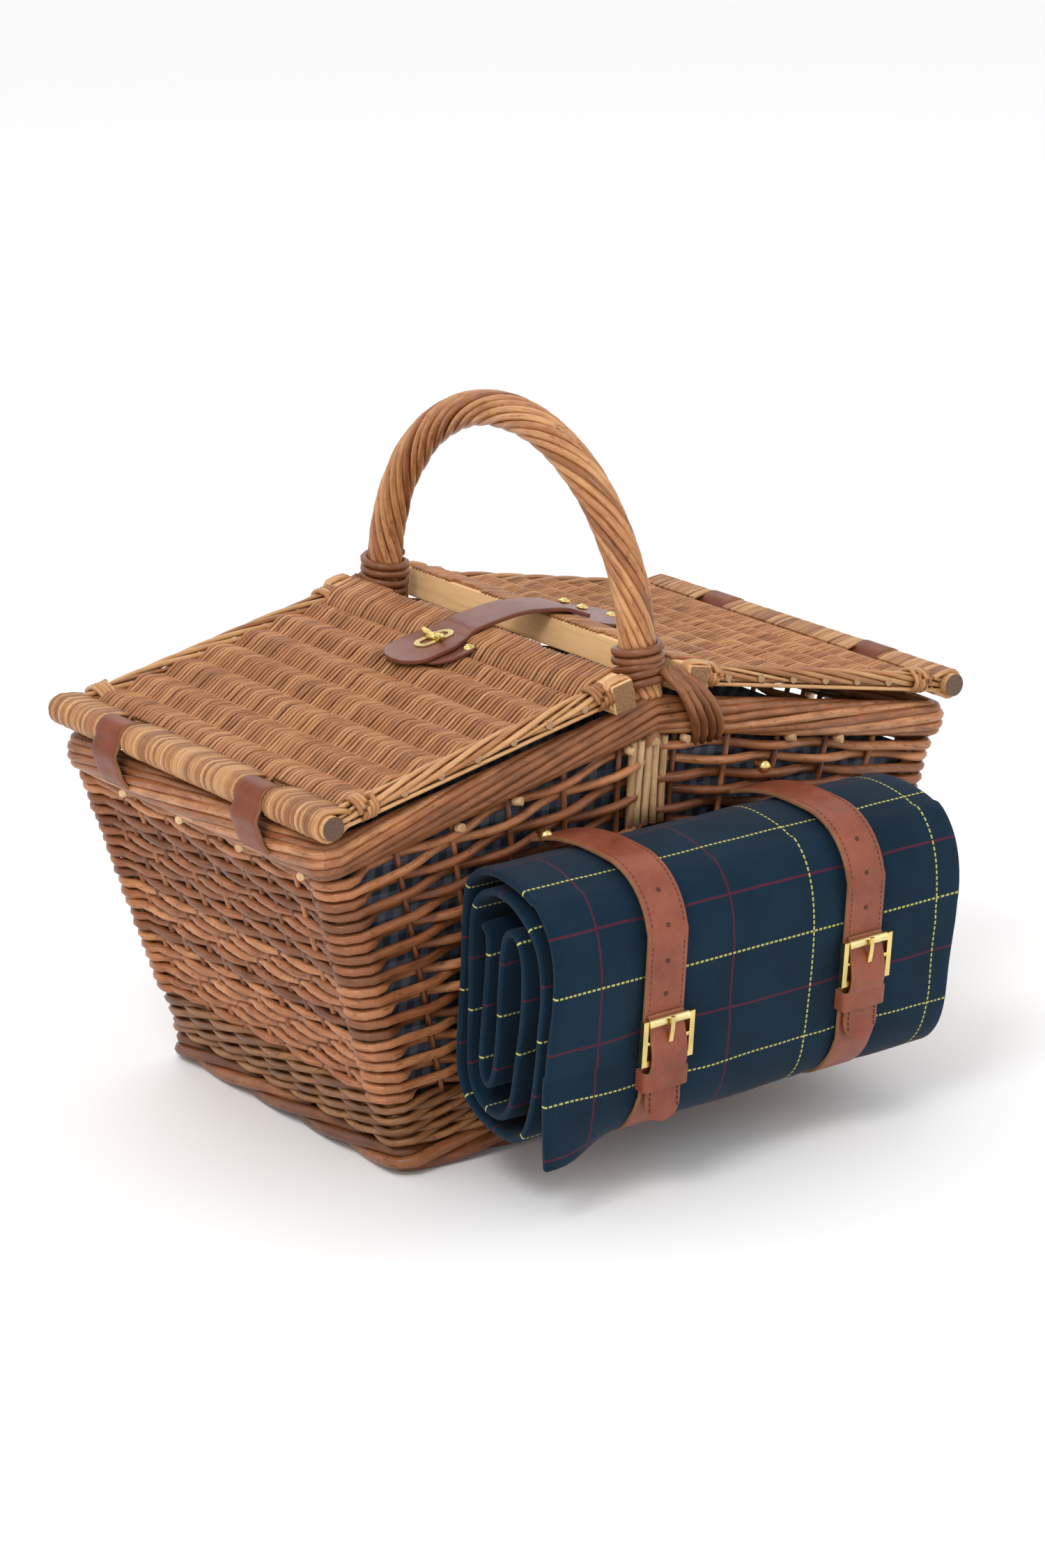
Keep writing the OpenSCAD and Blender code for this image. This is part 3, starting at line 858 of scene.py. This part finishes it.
# Hinge loops: a band laps each rod twice and hangs down outside the border.
for name, side in (("left", -1), ("right", 1)):
    for where, y in (("front", -loop_y), ("back", loop_y)):
        path = []
        for i in range(9):
            turn = math.radians(20 + 172 * i / 8)
            reach = side * (rod_x - 9.0 * math.cos(turn))
            path.append((reach * mm, y * mm, (rod_z + 9.0 * math.sin(turn)) * mm))
        for z in (224, 216, 209):
            x = base_half[0] / mm + lean[0] * z + 5.4
            path.append((side * x * mm, y * mm, z * mm))
        for inwards, z in ((3.2, 204), (0.4, 201), (-4, 199)):
            x = base_half[0] / mm + lean[0] * z + inwards
            path.append((side * x * mm, y * mm, z * mm))
        path = [Vector((side * (rod_x - 9.5) * mm, y * mm, (rod_z - 6) * mm)),
                Vector((side * (rod_x - 10.2) * mm, y * mm, (rod_z + 1) * mm))] + [Vector(q) for q in path]
        piece = strip(f"{name}_{where}_loop", resample(path, 3 * mm), loop_wide * mm, 2.3 * mm, along_y)
        nodes = ("hinge_loops",) if (name, where) == ("left", "front") else ()
        hide(piece, tan_leather, raw_edge, "basket", "loop_leather", *nodes)


# ---------------------------------------------------------------- Closure strap
# A wide strap is riveted to a patch on the right lid, bows over the gap, and widens to a round
# tip whose eyelet fits over the turn knob on the left lid.
latch_line = [
    (50, 278.5), (42, 281.6), (36, 284.2), (30, 285.7), (23, 286.8), (16, 287.6), (8, 288.4), (0, 288.7)
]
latch_line += [
    (-6, 288.5), (-14, 287.6), (-20, 286.8), (-26, 285.9), (-34, 284.4), (-38.4, 283.0), (-43, 280.6)
]
latch_line += [(-50, 279.0), (-60, 276.95), (-70, 274.93), (-80, 272.75), (-88, 271.0)]
latch_path = resample([Vector((x, 0, z)) * mm for x, z in latch_line], 1.6 * mm)
whole_latch = strip("latch", latch_path, 30 * mm, 2.6 * mm, along_y, round_end=True, cells=10)
shape_now(whole_latch)
flap_from, flap_ease, flap_grows = 38 * mm, 22 * mm, 0.36
for v in whole_latch.data.vertices:
    spread = min(1.0, max(0.0, (-v.co.x - flap_from) / flap_ease))
    v.co.y *= 1 + flap_grows * spread * spread * (3 - 2 * spread)
latch_parts = (
    ("latch_tail", 1.0, 99.0, ("right_lid", "strap_bridge", 23, 10), ("strap_tail", "strap_bridge")),
    ("latch_middle", -20.0, 1.0, ("strap_bridge", "strap_mid", -9, -18), ("strap_mid",)),
    ("latch_flap", -99.0, -20.0, ("strap_mid", "closure_strap", -22, -31), ("closure_strap",)),
)


def latch_z(x):
    spot = min(latch_path, key=lambda p: abs(p.x - x * mm))
    return spot.z


for name, low, high, (body_a, body_b, start, end), nodes in latch_parts:
    cut = bmesh.new()
    cut.from_mesh(whole_latch.data)
    for x, keep in ((low, 1), (high, -1)):
        bmesh.ops.bisect_plane(
            cut,
            geom=cut.verts[:] + cut.edges[:] + cut.faces[:],
            plane_co=(x * mm, 0, 0),
            plane_no=(-keep, 0, 0),
            clear_outer=True,
        )
    mesh = bpy.data.meshes.new(name)
    cut.to_mesh(mesh)
    cut.free()
    piece = bpy.data.objects.new(name, mesh)
    stage.objects.link(piece)
    mesh.materials.clear()
    mesh.materials.append(latch_leather)
    mesh.materials.append(raw_edge)
    start * mm
    latch_z(start)
    end * mm
    latch_z(end)
    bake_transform(piece)
    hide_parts(*nodes)
bpy.data.objects.remove(whole_latch)

for name, side, long, wide, u, y in (("left_lid", -1, 42, 50, 181, -3), ("right_lid", 1, 46, 60, 172, 0)):
    plate = bmesh.new()
    bmesh.ops.create_grid(plate, x_segments=1, y_segments=1, size=0.5)
    bmesh.ops.scale(plate, vec=(long * mm, wide * mm, 1), verts=plate.verts)
    bmesh.ops.bevel(
        plate, geom=plate.verts[:], offset=17 * mm, segments=8, profile=0.5, affect="VERTICES", material=-1
    )
    grown = bmesh.ops.extrude_face_region(plate, geom=plate.faces[:])["geom"]
    bmesh.ops.translate(
        plate, verts=[g for g in grown if isinstance(g, bmesh.types.BMVert)], vec=(0, 0, 2.0 * mm)
    )
    bmesh.ops.recalc_face_normals(plate, faces=plate.faces)
    rims = [e for e in plate.edges if e.calc_face_angle(0) > 1]
    bmesh.ops.bevel(plate, geom=rims, offset=0.5 * mm, segments=2, profile=0.5, affect="EDGES", material=-1)
    tilt = Matrix.Rotation(side * slope, 4, "Y")
    bmesh.ops.transform(plate, matrix=Matrix.Translation(on_lid(side, u, y, 5.3)) @ tilt, verts=plate.verts)
    mesh = bpy.data.meshes.new(name + "_pad")
    plate.to_mesh(mesh)
    plate.free()
    pad = bpy.data.objects.new(name + "_pad", mesh)
    stage.objects.link(pad)
    dress(pad, latch_leather, name, "latch_leather", name + "_patch")


# ---------------------------------------------------------------- Brass
# Buckles, rollers, studs, rivets and the lock are polished brass, a little dulled.
def brass(name, colour, rough):
    material, start, skin = surface(name)
    place = start.node("ShaderNodeTexCoord", out=3)
    smear = place.noise(220, 4, 0.6)
    dull = place.noise(60, 2)
    feed(start, skin, Base_Color=dull.ramp((0.35, tuple(v * 0.78 for v in colour)), (0.6, colour)))
    feed(start, skin, Metallic=1.0, Roughness=smear * 0.16 + rough, Normal=smear.bump(0.06, 0.0002))
    return material


bright_brass = brass("bright_brass", srgb(232, 206, 132), 0.16)
pale_brass = brass("pale_brass", srgb(240, 222, 160), 0.2)
for node, material in (
    ("strap_studs", bright_brass),
    ("buckle_frames", bright_brass),
    ("buckle_roller_left", pale_brass),
    ("buckle_roller_right", pale_brass),
    ("buckle_tongue_left", bright_brass),
    ("buckle_tongue_right", bright_brass),
    ("eyelet_plate", pale_brass),
    ("lock_base", bright_brass),
):
    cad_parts[node].data.materials.clear()
    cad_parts[node].data.materials.append(material)


def ball(shape, place, sizes, turn=None):
    """Adds a stretched ball to a bmesh."""
    made = bmesh.ops.create_uvsphere(shape, u_segments=20, v_segments=12, radius=1)
    matrix = Matrix.Translation(place) @ (turn or Matrix()) @ Matrix.Diagonal((*sizes, 1))
    bmesh.ops.transform(shape, matrix=matrix, verts=made["verts"])


def finish_brass(name, shape, body, *nodes):
    mesh = bpy.data.meshes.new(name)
    shape.to_mesh(mesh)
    shape.free()
    for face in mesh.polygons:
        face.use_smooth = True
    piece = bpy.data.objects.new(name, mesh)
    stage.objects.link(piece)
    dress(piece, bright_brass, body, "brass_fittings", *nodes)


for name, side, spots in (
    ("right_rivets", 1, ((190, -9, 13.0), (190, 9, 13.0), (158, 0, 7.2), (165, -21, 7.2), (165, 21, 7.2))),
    ("left_rivets", -1, ((189, -22.5, 7.2), (189, 16.5, 7.2))),
):
    shape = bmesh.new()
    tilt = Matrix.Rotation(side * slope, 4, "Y")
    for u, y, n in spots:
        ball(shape, on_lid(side, u, y, n), (3.9 * mm, 3.9 * mm, 1.7 * mm), tilt)
        ball(shape, on_lid(side, u, y, n + 0.6), (2.4 * mm, 2.4 * mm, 1.7 * mm), tilt)
    finish_brass(
        name, shape, "right_lid" if side > 0 else "left_lid", *(("lid_rivets",) if side > 0 else ())
    )

shape = bmesh.new()
lock_u = (rod_x - 55) / math.cos(slope)
tilt = Matrix.Rotation(-slope, 4, "Y")
for end in (-1, 1):
    ball(shape, on_lid(-1, lock_u, end * 6.0, 13.4), (2.0 * mm, 5.0 * mm, 2.5 * mm), tilt)
    ball(shape, on_lid(-1, lock_u, end * 9.0, 14.2), (1.7 * mm, 2.2 * mm, 2.4 * mm), tilt)
ball(shape, on_lid(-1, lock_u, 0, 12.6), (3.4 * mm, 3.4 * mm, 2.6 * mm), tilt)
made = bmesh.ops.create_cone(
    shape, cap_ends=True, segments=20, radius1=1.45 * mm, radius2=1.45 * mm, depth=6 * mm
)
bmesh.ops.transform(
    shape, matrix=Matrix.Translation(on_lid(-1, lock_u, 0, 9.4)) @ tilt, verts=made["verts"]
)
finish_brass("butterfly_knob", shape, "turn_knob", "turn_knob")


# ---------------------------------------------------------------- Blanket straps
# Two straps go round the blanket and through the wall behind it. Each end comes through a
# roller buckle, hangs down over the lower run and is held by a keeper.
wall_lean = math.atan(lean[1])
strap_x, strap_wide, strap_gap, strap_thick = 74, 28, 4.8, 2.7
right_rise = 15


def on_front(x, d, h):
    """A place before the front wall in metres: d out from it and h up along it."""
    y = -base_half[1] / mm - d * math.cos(wall_lean) - h * math.sin(wall_lean)
    return Vector((x, y, h * math.cos(wall_lean) - d * math.sin(wall_lean))) * mm


def outline(
    grow, corners=((69, 84, 36, -90), (69, 168, 36, 0), (29, 182, 22, 90), (29, 70, 22, 180)), fine=8
):
    """The rolled blanket's outline, grown outwards: (d, h) points."""
    made = []
    for d, h, r, start in corners:
        for i in range(fine + 1):
            turn = math.radians(start + 90 * i / fine)
            made.append((d + (r + grow) * math.cos(turn), h + (r + grow) * math.sin(turn)))
    return made


out_of_wall = on_front(0, 1, 0) - on_front(0, 0, 0)
up = (on_front(0, 0, 1) - on_front(0, 0, 0)).normalized()
for name, s in (("left", -1), ("right", 1)):
    x = s * strap_x
    up_by = right_rise if s > 0 else 0
    loop = [(-2, 48), (8, 45.5), (20, 43.6), (44, 43.2)] + outline(strap_gap)[:18] + [
        (44, 208), (24, 204.5), (10, 200), (-2, 195)
    ]
    band_path = resample([on_front(x, d, h) for d, h in loop], 5 * mm)
    band = strip(f"{name}_blanket_strap", band_path, strap_wide * mm, strap_thick * mm, along_x)
    hide(band, strap_leather, raw_edge, "basket", "strap_leather", *(("blanket_straps",) if s < 0 else ()))

    hang_down = [(112.4, 128), (112.6, 123), (114.2, 118), (116.4, 112), (117.6, 106), (117.9, 100)]
    hang_down += [(116.8, 95), (115.0, 91), (114.0, 86), (113.6, 80), (113.9, 72), (115.4, 61)]
    tip_line = [on_front(x, d, h) for d, h in hang_down]
    tip_line = [q + up * up_by * mm for q in tip_line]
    tip = strip(
        f"{name}_strap_tip", resample(tip_line, 2.2 * mm), 25 * mm, 2.2 * mm, along_x, round_end=True,
        cells=8
    )
    hide(tip, strap_leather, raw_edge, "basket", "strap_leather", *(("strap_tips",) if s < 0 else ()))

    keep = []
    for cx, cd, start in ((13.4, 114.4, 0), (-13.4, 114.4, 90), (-13.4, 109.4, 180), (13.4, 109.4, 270)):
        for i in range(4):
            turn = math.radians(start + 30 * i)
            keep.append(on_front(x + cx + 1.9 * math.cos(turn), cd + 1.9 * math.sin(turn), 82))
    keep = [q + up * (6 + up_by) * mm for q in keep]
    keeper = strip(f"{name}_keeper", keep, 12 * mm, 1.9 * mm, up, closed=True, cells=3)
    hide(keeper, strap_leather, raw_edge, f"keeper_{name}", "strap_leather", f"strap_keeper_{name}")

    lines = []
    front = [(111.25, h) for h in range(130 + up_by, 168, 4)]
    arc = outline(strap_gap + strap_thick / 2 + 0.1, corners=((69, 168, 36, 0),), fine=14)
    seam = front + arc + [(64, 210.2), (58, 210.0)]
    for edge in (-11.4, 11.4):
        points = [on_front(x + edge, d, h) for d, h in seam]
        lines.append((points, [-u for u in ups_of(points, along_x)]))
    tip_front = [(115.0, 81 + up_by), (115.1, 76 + up_by), (115.9, 69 + up_by)]
    for edge in (-10, 10):
        points = [on_front(x + edge, d, h) for d, h in tip_front]
        lines.append((points, [out_of_wall.normalized()] * len(points)))
    stitches(f"{name}_strap_stitches", lines, "basket", "strap_leather")

    # Each strap hole is a thin dark disc of the thread leather on the strap's face: painted shade where the
    # open hole would be.
    holes = [on_front(x, 111.0, h) for h in ((139, 159) if s < 0 else (159,))]
    runs = [([q, q + out_of_wall * 0.55], [1.5 * mm] * 2, 0.0) for q in holes]
    for a in (17, 45):
        q = on_front(x, 69 + 42.2 * math.cos(math.radians(a)), 168 + 42.2 * math.sin(math.radians(a)))
        way = on_front(0, math.cos(math.radians(a)), math.sin(math.radians(a))) - on_front(0, 0, 0)
        runs.append(([q - way * 0.5, q + way * 0.12], [1.5 * mm] * 2, 0.0))
    hole_shade_discs = rods(f"{name}_strap_hole_shade", runs, ring=8)
    dress(hole_shade_discs, thread, "basket", "strap_leather")


# ---------------------------------------------------------------- Blanket
# A twill travel blanket, navy with dashed yellow and dark red lines, folded into a long
# bundle: the outer fold hangs at the front, and the inner folds lie back and forth in it.
def blanket_cloth():
    material, start, skin = surface("blanket_twill")
    uv = start.node("ShaderNodeUVMap", uv_map="cloth")
    u = start.node("ShaderNodeSeparateXYZ", {"Vector": uv}, out=0)
    v = start.node("ShaderNodeSeparateXYZ", {"Vector": uv}, out=1)

    def line(value, pitch_mm, at_mm, half_mm):
        span = pitch_mm * mm
        fold = (value - (at_mm - pitch_mm / 2) * mm).maths(
            "PINGPONG", value - (at_mm - pitch_mm / 2) * mm, span / 2
        )
        return fold.over(span / 2 - half_mm * mm, 0.00018)

    def dashes(value):
        return value.maths("FRACT", value * (1000 / 3.4)).over(0.36, 0.08)

    yellow_u = line(u, 96, 38, 0.55) * dashes(v)
    yellow_v = line(v, 66, 40, 0.55) * dashes(u)
    yellow = yellow_u.maths("MAXIMUM", yellow_u, yellow_v)
    red_u, red_v = line(u, 96, -22, 0.7), line(v, 66, 7, 0.7)
    red = red_u.maths("MAXIMUM", red_u, red_v)
    threads = (u + v).maths("SINE", (u + v) * 4200)
    cross = (u - v).maths("SINE", (u - v) * 2600)
    fuzz = uv.noise(900, 3, 0.7)
    clouds = uv.noise(22, 3)
    navy = (clouds * 0.5 + fuzz * 0.5).ramp((0.3, srgb(6, 26, 40)), (0.7, srgb(18, 46, 64)))
    with_red = (red * 0.6).tint(navy, (*srgb(96, 26, 44), 1))
    colour = yellow.tint(with_red, (*srgb(186, 182, 102), 1))
    feed(start, skin, Base_Color=colour, Roughness=fuzz * 0.1 + 0.82)
    feed(start, skin, Normal=(threads * 0.3 + cross * 0.1 + fuzz * 0.6 + yellow * 0.8).bump(0.35, 0.0004))
    feed(start, skin, Sheen_Weight=0.06, Sheen_Roughness=0.5, IOR=1.2)
    return material


folds = [(88, 49), (96, 56), (102, 68), (104, 84), (104, 120), (103.4, 158), (97, 182), (83, 197)]
folds += [
    (62, 202.5), (38, 201.5), (20, 193), (11, 174), (10, 112), (12, 72), (22, 55), (40, 48.2), (62, 47.8)
]
folds += [
    (79, 52.5), (89, 66), (94, 90), (95, 122), (93.5, 156), (84, 178), (63, 190.5), (40, 190), (24, 179)
]
folds += [
    (19, 154), (19.5, 100), (23, 72), (34, 59), (52, 57), (66, 63), (73, 80), (75, 120), (73, 158),
    (64, 172)
]
folds += [(54, 166), (51, 130), (50, 84), (44, 72), (37, 82), (36, 120), (37, 160), (30, 168)]
hang = 57.0
section = resample([Vector((0, d, h)) for d, h in folds], 4.0)
cloth = bmesh.new()
x_low, x_high, columns = -151, 151, 40
line = [cloth.verts.new(on_front(x_low, p.y, p.z)) for p in section]
row = [cloth.edges.new(pair) for pair in zip(line, line[1:])]
for _ in range(columns):
    grown = bmesh.ops.extrude_edge_only(cloth, edges=row)["geom"]
    row = [g for g in grown if isinstance(g, bmesh.types.BMEdge)]
    moved = [g for g in grown if isinstance(g, bmesh.types.BMVert)]
    bmesh.ops.translate(cloth, verts=moved, vec=((x_high - x_low) / columns * mm, 0, 0))
far_along = [0.0]
for a, b in zip(section, section[1:]):
    far_along.append(far_along[-1] + (b - a).length)
cloth.verts.ensure_lookup_table()
where = {}
for p, far in zip(section, far_along):
    where[tuple(round(c, 6) for c in on_front(0, p.y, p.z)[1:])] = (p, far)
uv_layer = cloth.loops.layers.uv.new("cloth")
flat_of = {}
for v in cloth.verts:
    p, far = where[tuple(round(c, 6) for c in (v.co.y, v.co.z))]
    flat_of[v] = (v.co.x, far * mm, p)
for face in cloth.faces:
    for loop in face.loops:
        loop[uv_layer].uv = flat_of[loop.vert][:2]
for v, (x, far, p) in flat_of.items():
    loose = 1.0 if far < 0.1 or far > 0.42 else 0.45
    sag = wobble(x * 9, far * 14, 3, 3.0) * loose + wobble(x * 34, far * 26, 8, 0.9)
    inward = Vector((0, 57 - p.y, 122 - p.z)).normalized()
    held = max(math.exp(-(((x - s * strap_x * mm) / 0.017) ** 2)) for s in (-1, 1))
    bulge = (2.4 if far < 0.16 else 0.5) * (1 - held) * min(1.0, max(0.2, far / 0.05))
    shift = inward * (abs(sag) + 0.2 - bulge)
    d, h = p.y + shift.y, p.z + shift.z
    if far < hang * mm:
        end = min(1.0, max(0.0, (-x - 0.088) / 0.055))
        end = end * end * (3 - 2 * end)
        d += (103.5 + 3 * (1 - far / (hang * mm)) - d) * end
        h += (102 - (hang - far * 1000) - h) * end
    edge = wobble(far * 12, 4, 1, 3.0) if abs(x) > 0.14 else 0.0
    tuck = 9 * (1 - min(1.0, d / 95)) * max(0.0, (-x - 0.04) / 0.11)
    moved = on_front(0, d, h)
    v.co = Vector((x + (edge + tuck) * mm, moved.y, moved.z))
bmesh.ops.recalc_face_normals(cloth, faces=cloth.faces)
mesh = bpy.data.meshes.new("travel_blanket")
cloth.to_mesh(mesh)
cloth.free()
for face in mesh.polygons:
    face.use_smooth = True
blanket = bpy.data.objects.new("travel_blanket", mesh)
stage.objects.link(blanket)
nap = blanket.modifiers.new("nap", "SOLIDIFY")
nap.thickness = 4.2 * mm
nap.offset = 0
soft = blanket.modifiers.new("soft", "BEVEL")
soft.width = 1.4 * mm
soft.segments = 2
soft.limit_method = "ANGLE"
soft.angle_limit = math.radians(50)
dress(blanket, blanket_cloth(), "blanket", "blanket_cloth", "blanket")


# ---------------------------------------------------------------- Lining
# Thin checked cotton lines the inside, tied behind the rim border.
def lining_cloth():
    material, start, skin = surface("lining_cotton")
    place = start.node("ShaderNodeTexCoord", out=3)
    x = start.node("ShaderNodeSeparateXYZ", {"Vector": place}, out=0)
    y = start.node("ShaderNodeSeparateXYZ", {"Vector": place}, out=1)
    z = start.node("ShaderNodeSeparateXYZ", {"Vector": place}, out=2)
    bars = (x + y).maths("FRACT", (x + y) * 90).over(0.5, 0.04)
    rows = z.maths("FRACT", z * 90).over(0.5, 0.04)
    check = bars * 0.5 + rows * 0.5
    threads = place.noise(1800, 2, 0.7)
    base = (check * 0.8 + threads * 0.2).ramp((0.1, srgb(34, 40, 52)), (0.9, srgb(96, 104, 116)))
    feed(start, skin, Base_Color=base, Roughness=threads * 0.1 + 0.82, Normal=threads.bump(0.25, 0.0003))
    return material


bag = bmesh.new()
bmesh.ops.create_cube(bag, size=2)
top = [f for f in bag.faces if f.calc_center_median().z > 0.9]
bmesh.ops.delete(bag, geom=top, context="FACES")
bmesh.ops.subdivide_edges(bag, edges=bag.edges[:], cuts=23, use_grid_fill=True)
bag_inset, floor_z = 14.9 * mm, 11.0 * mm
for v in bag.verts:
    nx, ny, nz = v.co
    share = (nz + 1) / 2
    top_z = min(peak - pitch * abs(nx) * 0.226, 1.0) - border_deep - 5 * mm
    z = floor_z + share * (top_z - floor_z)
    half_x = base_half[0] + lean[0] * z - bag_inset
    half_y = base_half[1] + lean[1] * z - bag_inset
    pucker = wobble(nx * 9, ny * 9, nz * 3, 0.7 * mm) * (0.3 + share)
    if nz < -0.999:
        v.co = Vector((nx * half_x, ny * half_y, z + abs(pucker)))
    else:
        v.co = Vector((nx * (half_x - abs(pucker)), ny * (half_y - abs(pucker)), z))
bmesh.ops.recalc_face_normals(bag, faces=bag.faces)
flat_area = sum(f.calc_area() for f in bag.faces)
mesh = bpy.data.meshes.new("cotton_lining")
bag.to_mesh(mesh)
bag.free()
for face in mesh.polygons:
    face.use_smooth = True
lining = bpy.data.objects.new("cotton_lining", mesh)
stage.objects.link(lining)
weight = lining.modifiers.new("weight", "SOLIDIFY")
weight.thickness = 1.0 * mm
weight.offset = 0
dress(lining, lining_cloth(), "basket", "lining_cloth", "lining")


# ---------------------------------------------------------------- Base and core
# The base is a woven willow panel inside the foot border, and the handle's core shows only
# where it goes down behind the rim.
def woven_panel():
    material, start, skin = surface("base_weave")
    place = start.node("ShaderNodeTexCoord", out=3)
    x = start.node("ShaderNodeSeparateXYZ", {"Vector": place}, out=0)
    y = start.node("ShaderNodeSeparateXYZ", {"Vector": place}, out=1)
    over = x.maths("SINE", x * (math.pi / 0.028)) * y.maths("SINE", y * (math.pi / 0.007))
    ridges = y.maths("SINE", y * (2 * math.pi / 0.007)) * 0.5 + 0.5
    fibres = place.scaled(30, 600, 600).noise(1.0, 3)
    # The colour follows the bump: lighter on the rods' crests and where a rod passes over, darker in the
    # grooves between rods and where a rod dips under. That is painted shade, mixed with the fibres' own
    # grain.
    tone = over * 0.15 + ridges * 0.4 + fibres * 0.45
    feed(
        start, skin,
        Base_Color=tone.ramp((0.2, srgb(80, 48, 30)), (0.5, srgb(140, 88, 56)), (0.85, srgb(186, 130, 88)))
    )
    feed(
        start, skin, Roughness=fibres * 0.2 + 0.4,
        Normal=(ridges + over * 0.6 + fibres * 0.2).bump(0.8, 0.002)
    )
    return material


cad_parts["base_panel"].data.materials.clear()
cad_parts["base_panel"].data.materials.append(woven_panel())
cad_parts["handle_bow"].data.materials.clear()
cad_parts["handle_bow"].data.materials.append(stick_wood)


# ---------------------------------------------------------------- Floor and light
# A pale sweep of floor under soft overhead light.
def studio():
    floor = bmesh.new()
    bmesh.ops.create_grid(floor, x_segments=1, y_segments=1, size=6)
    mesh = bpy.data.meshes.new("floor")
    floor.to_mesh(mesh)
    floor.free()
    ground = bpy.data.objects.new("floor", mesh)
    material, start, skin = surface("floor_white")
    feed(start, skin, Base_Color=(0.95, 0.95, 0.95, 1), Roughness=0.9)
    mesh.materials.append(material)
    stage.objects.link(ground)
    world = bpy.data.worlds.new("studio")
    world.use_nodes = True
    world.node_tree.nodes["Background"].inputs["Color"].default_value = (1, 1, 1, 1)
    world.node_tree.nodes["Background"].inputs["Strength"].default_value = 1.0
    bpy.context.scene.world = world
    bpy.context.scene.view_settings.view_transform = "Standard"
    for name, spot, power, size in (
        ("key", (-1.7, -1.0, 2.3), 26, 0.9),
        ("fill", (1.8, -2.0, 1.4), 5, 1.8),
        ("back", (0.6, 2.0, 2.2), 9, 1.6),
    ):
        lamp = bpy.data.lights.new(name, "AREA")
        lamp.energy = power
        lamp.size = size
        holder = bpy.data.objects.new(name, lamp)
        holder.location = spot
        holder.rotation_euler = (Vector((0, 0, 0.15)) - Vector(spot)).to_track_quat("-Z", "Y").to_euler()
        stage.objects.link(holder)


studio()
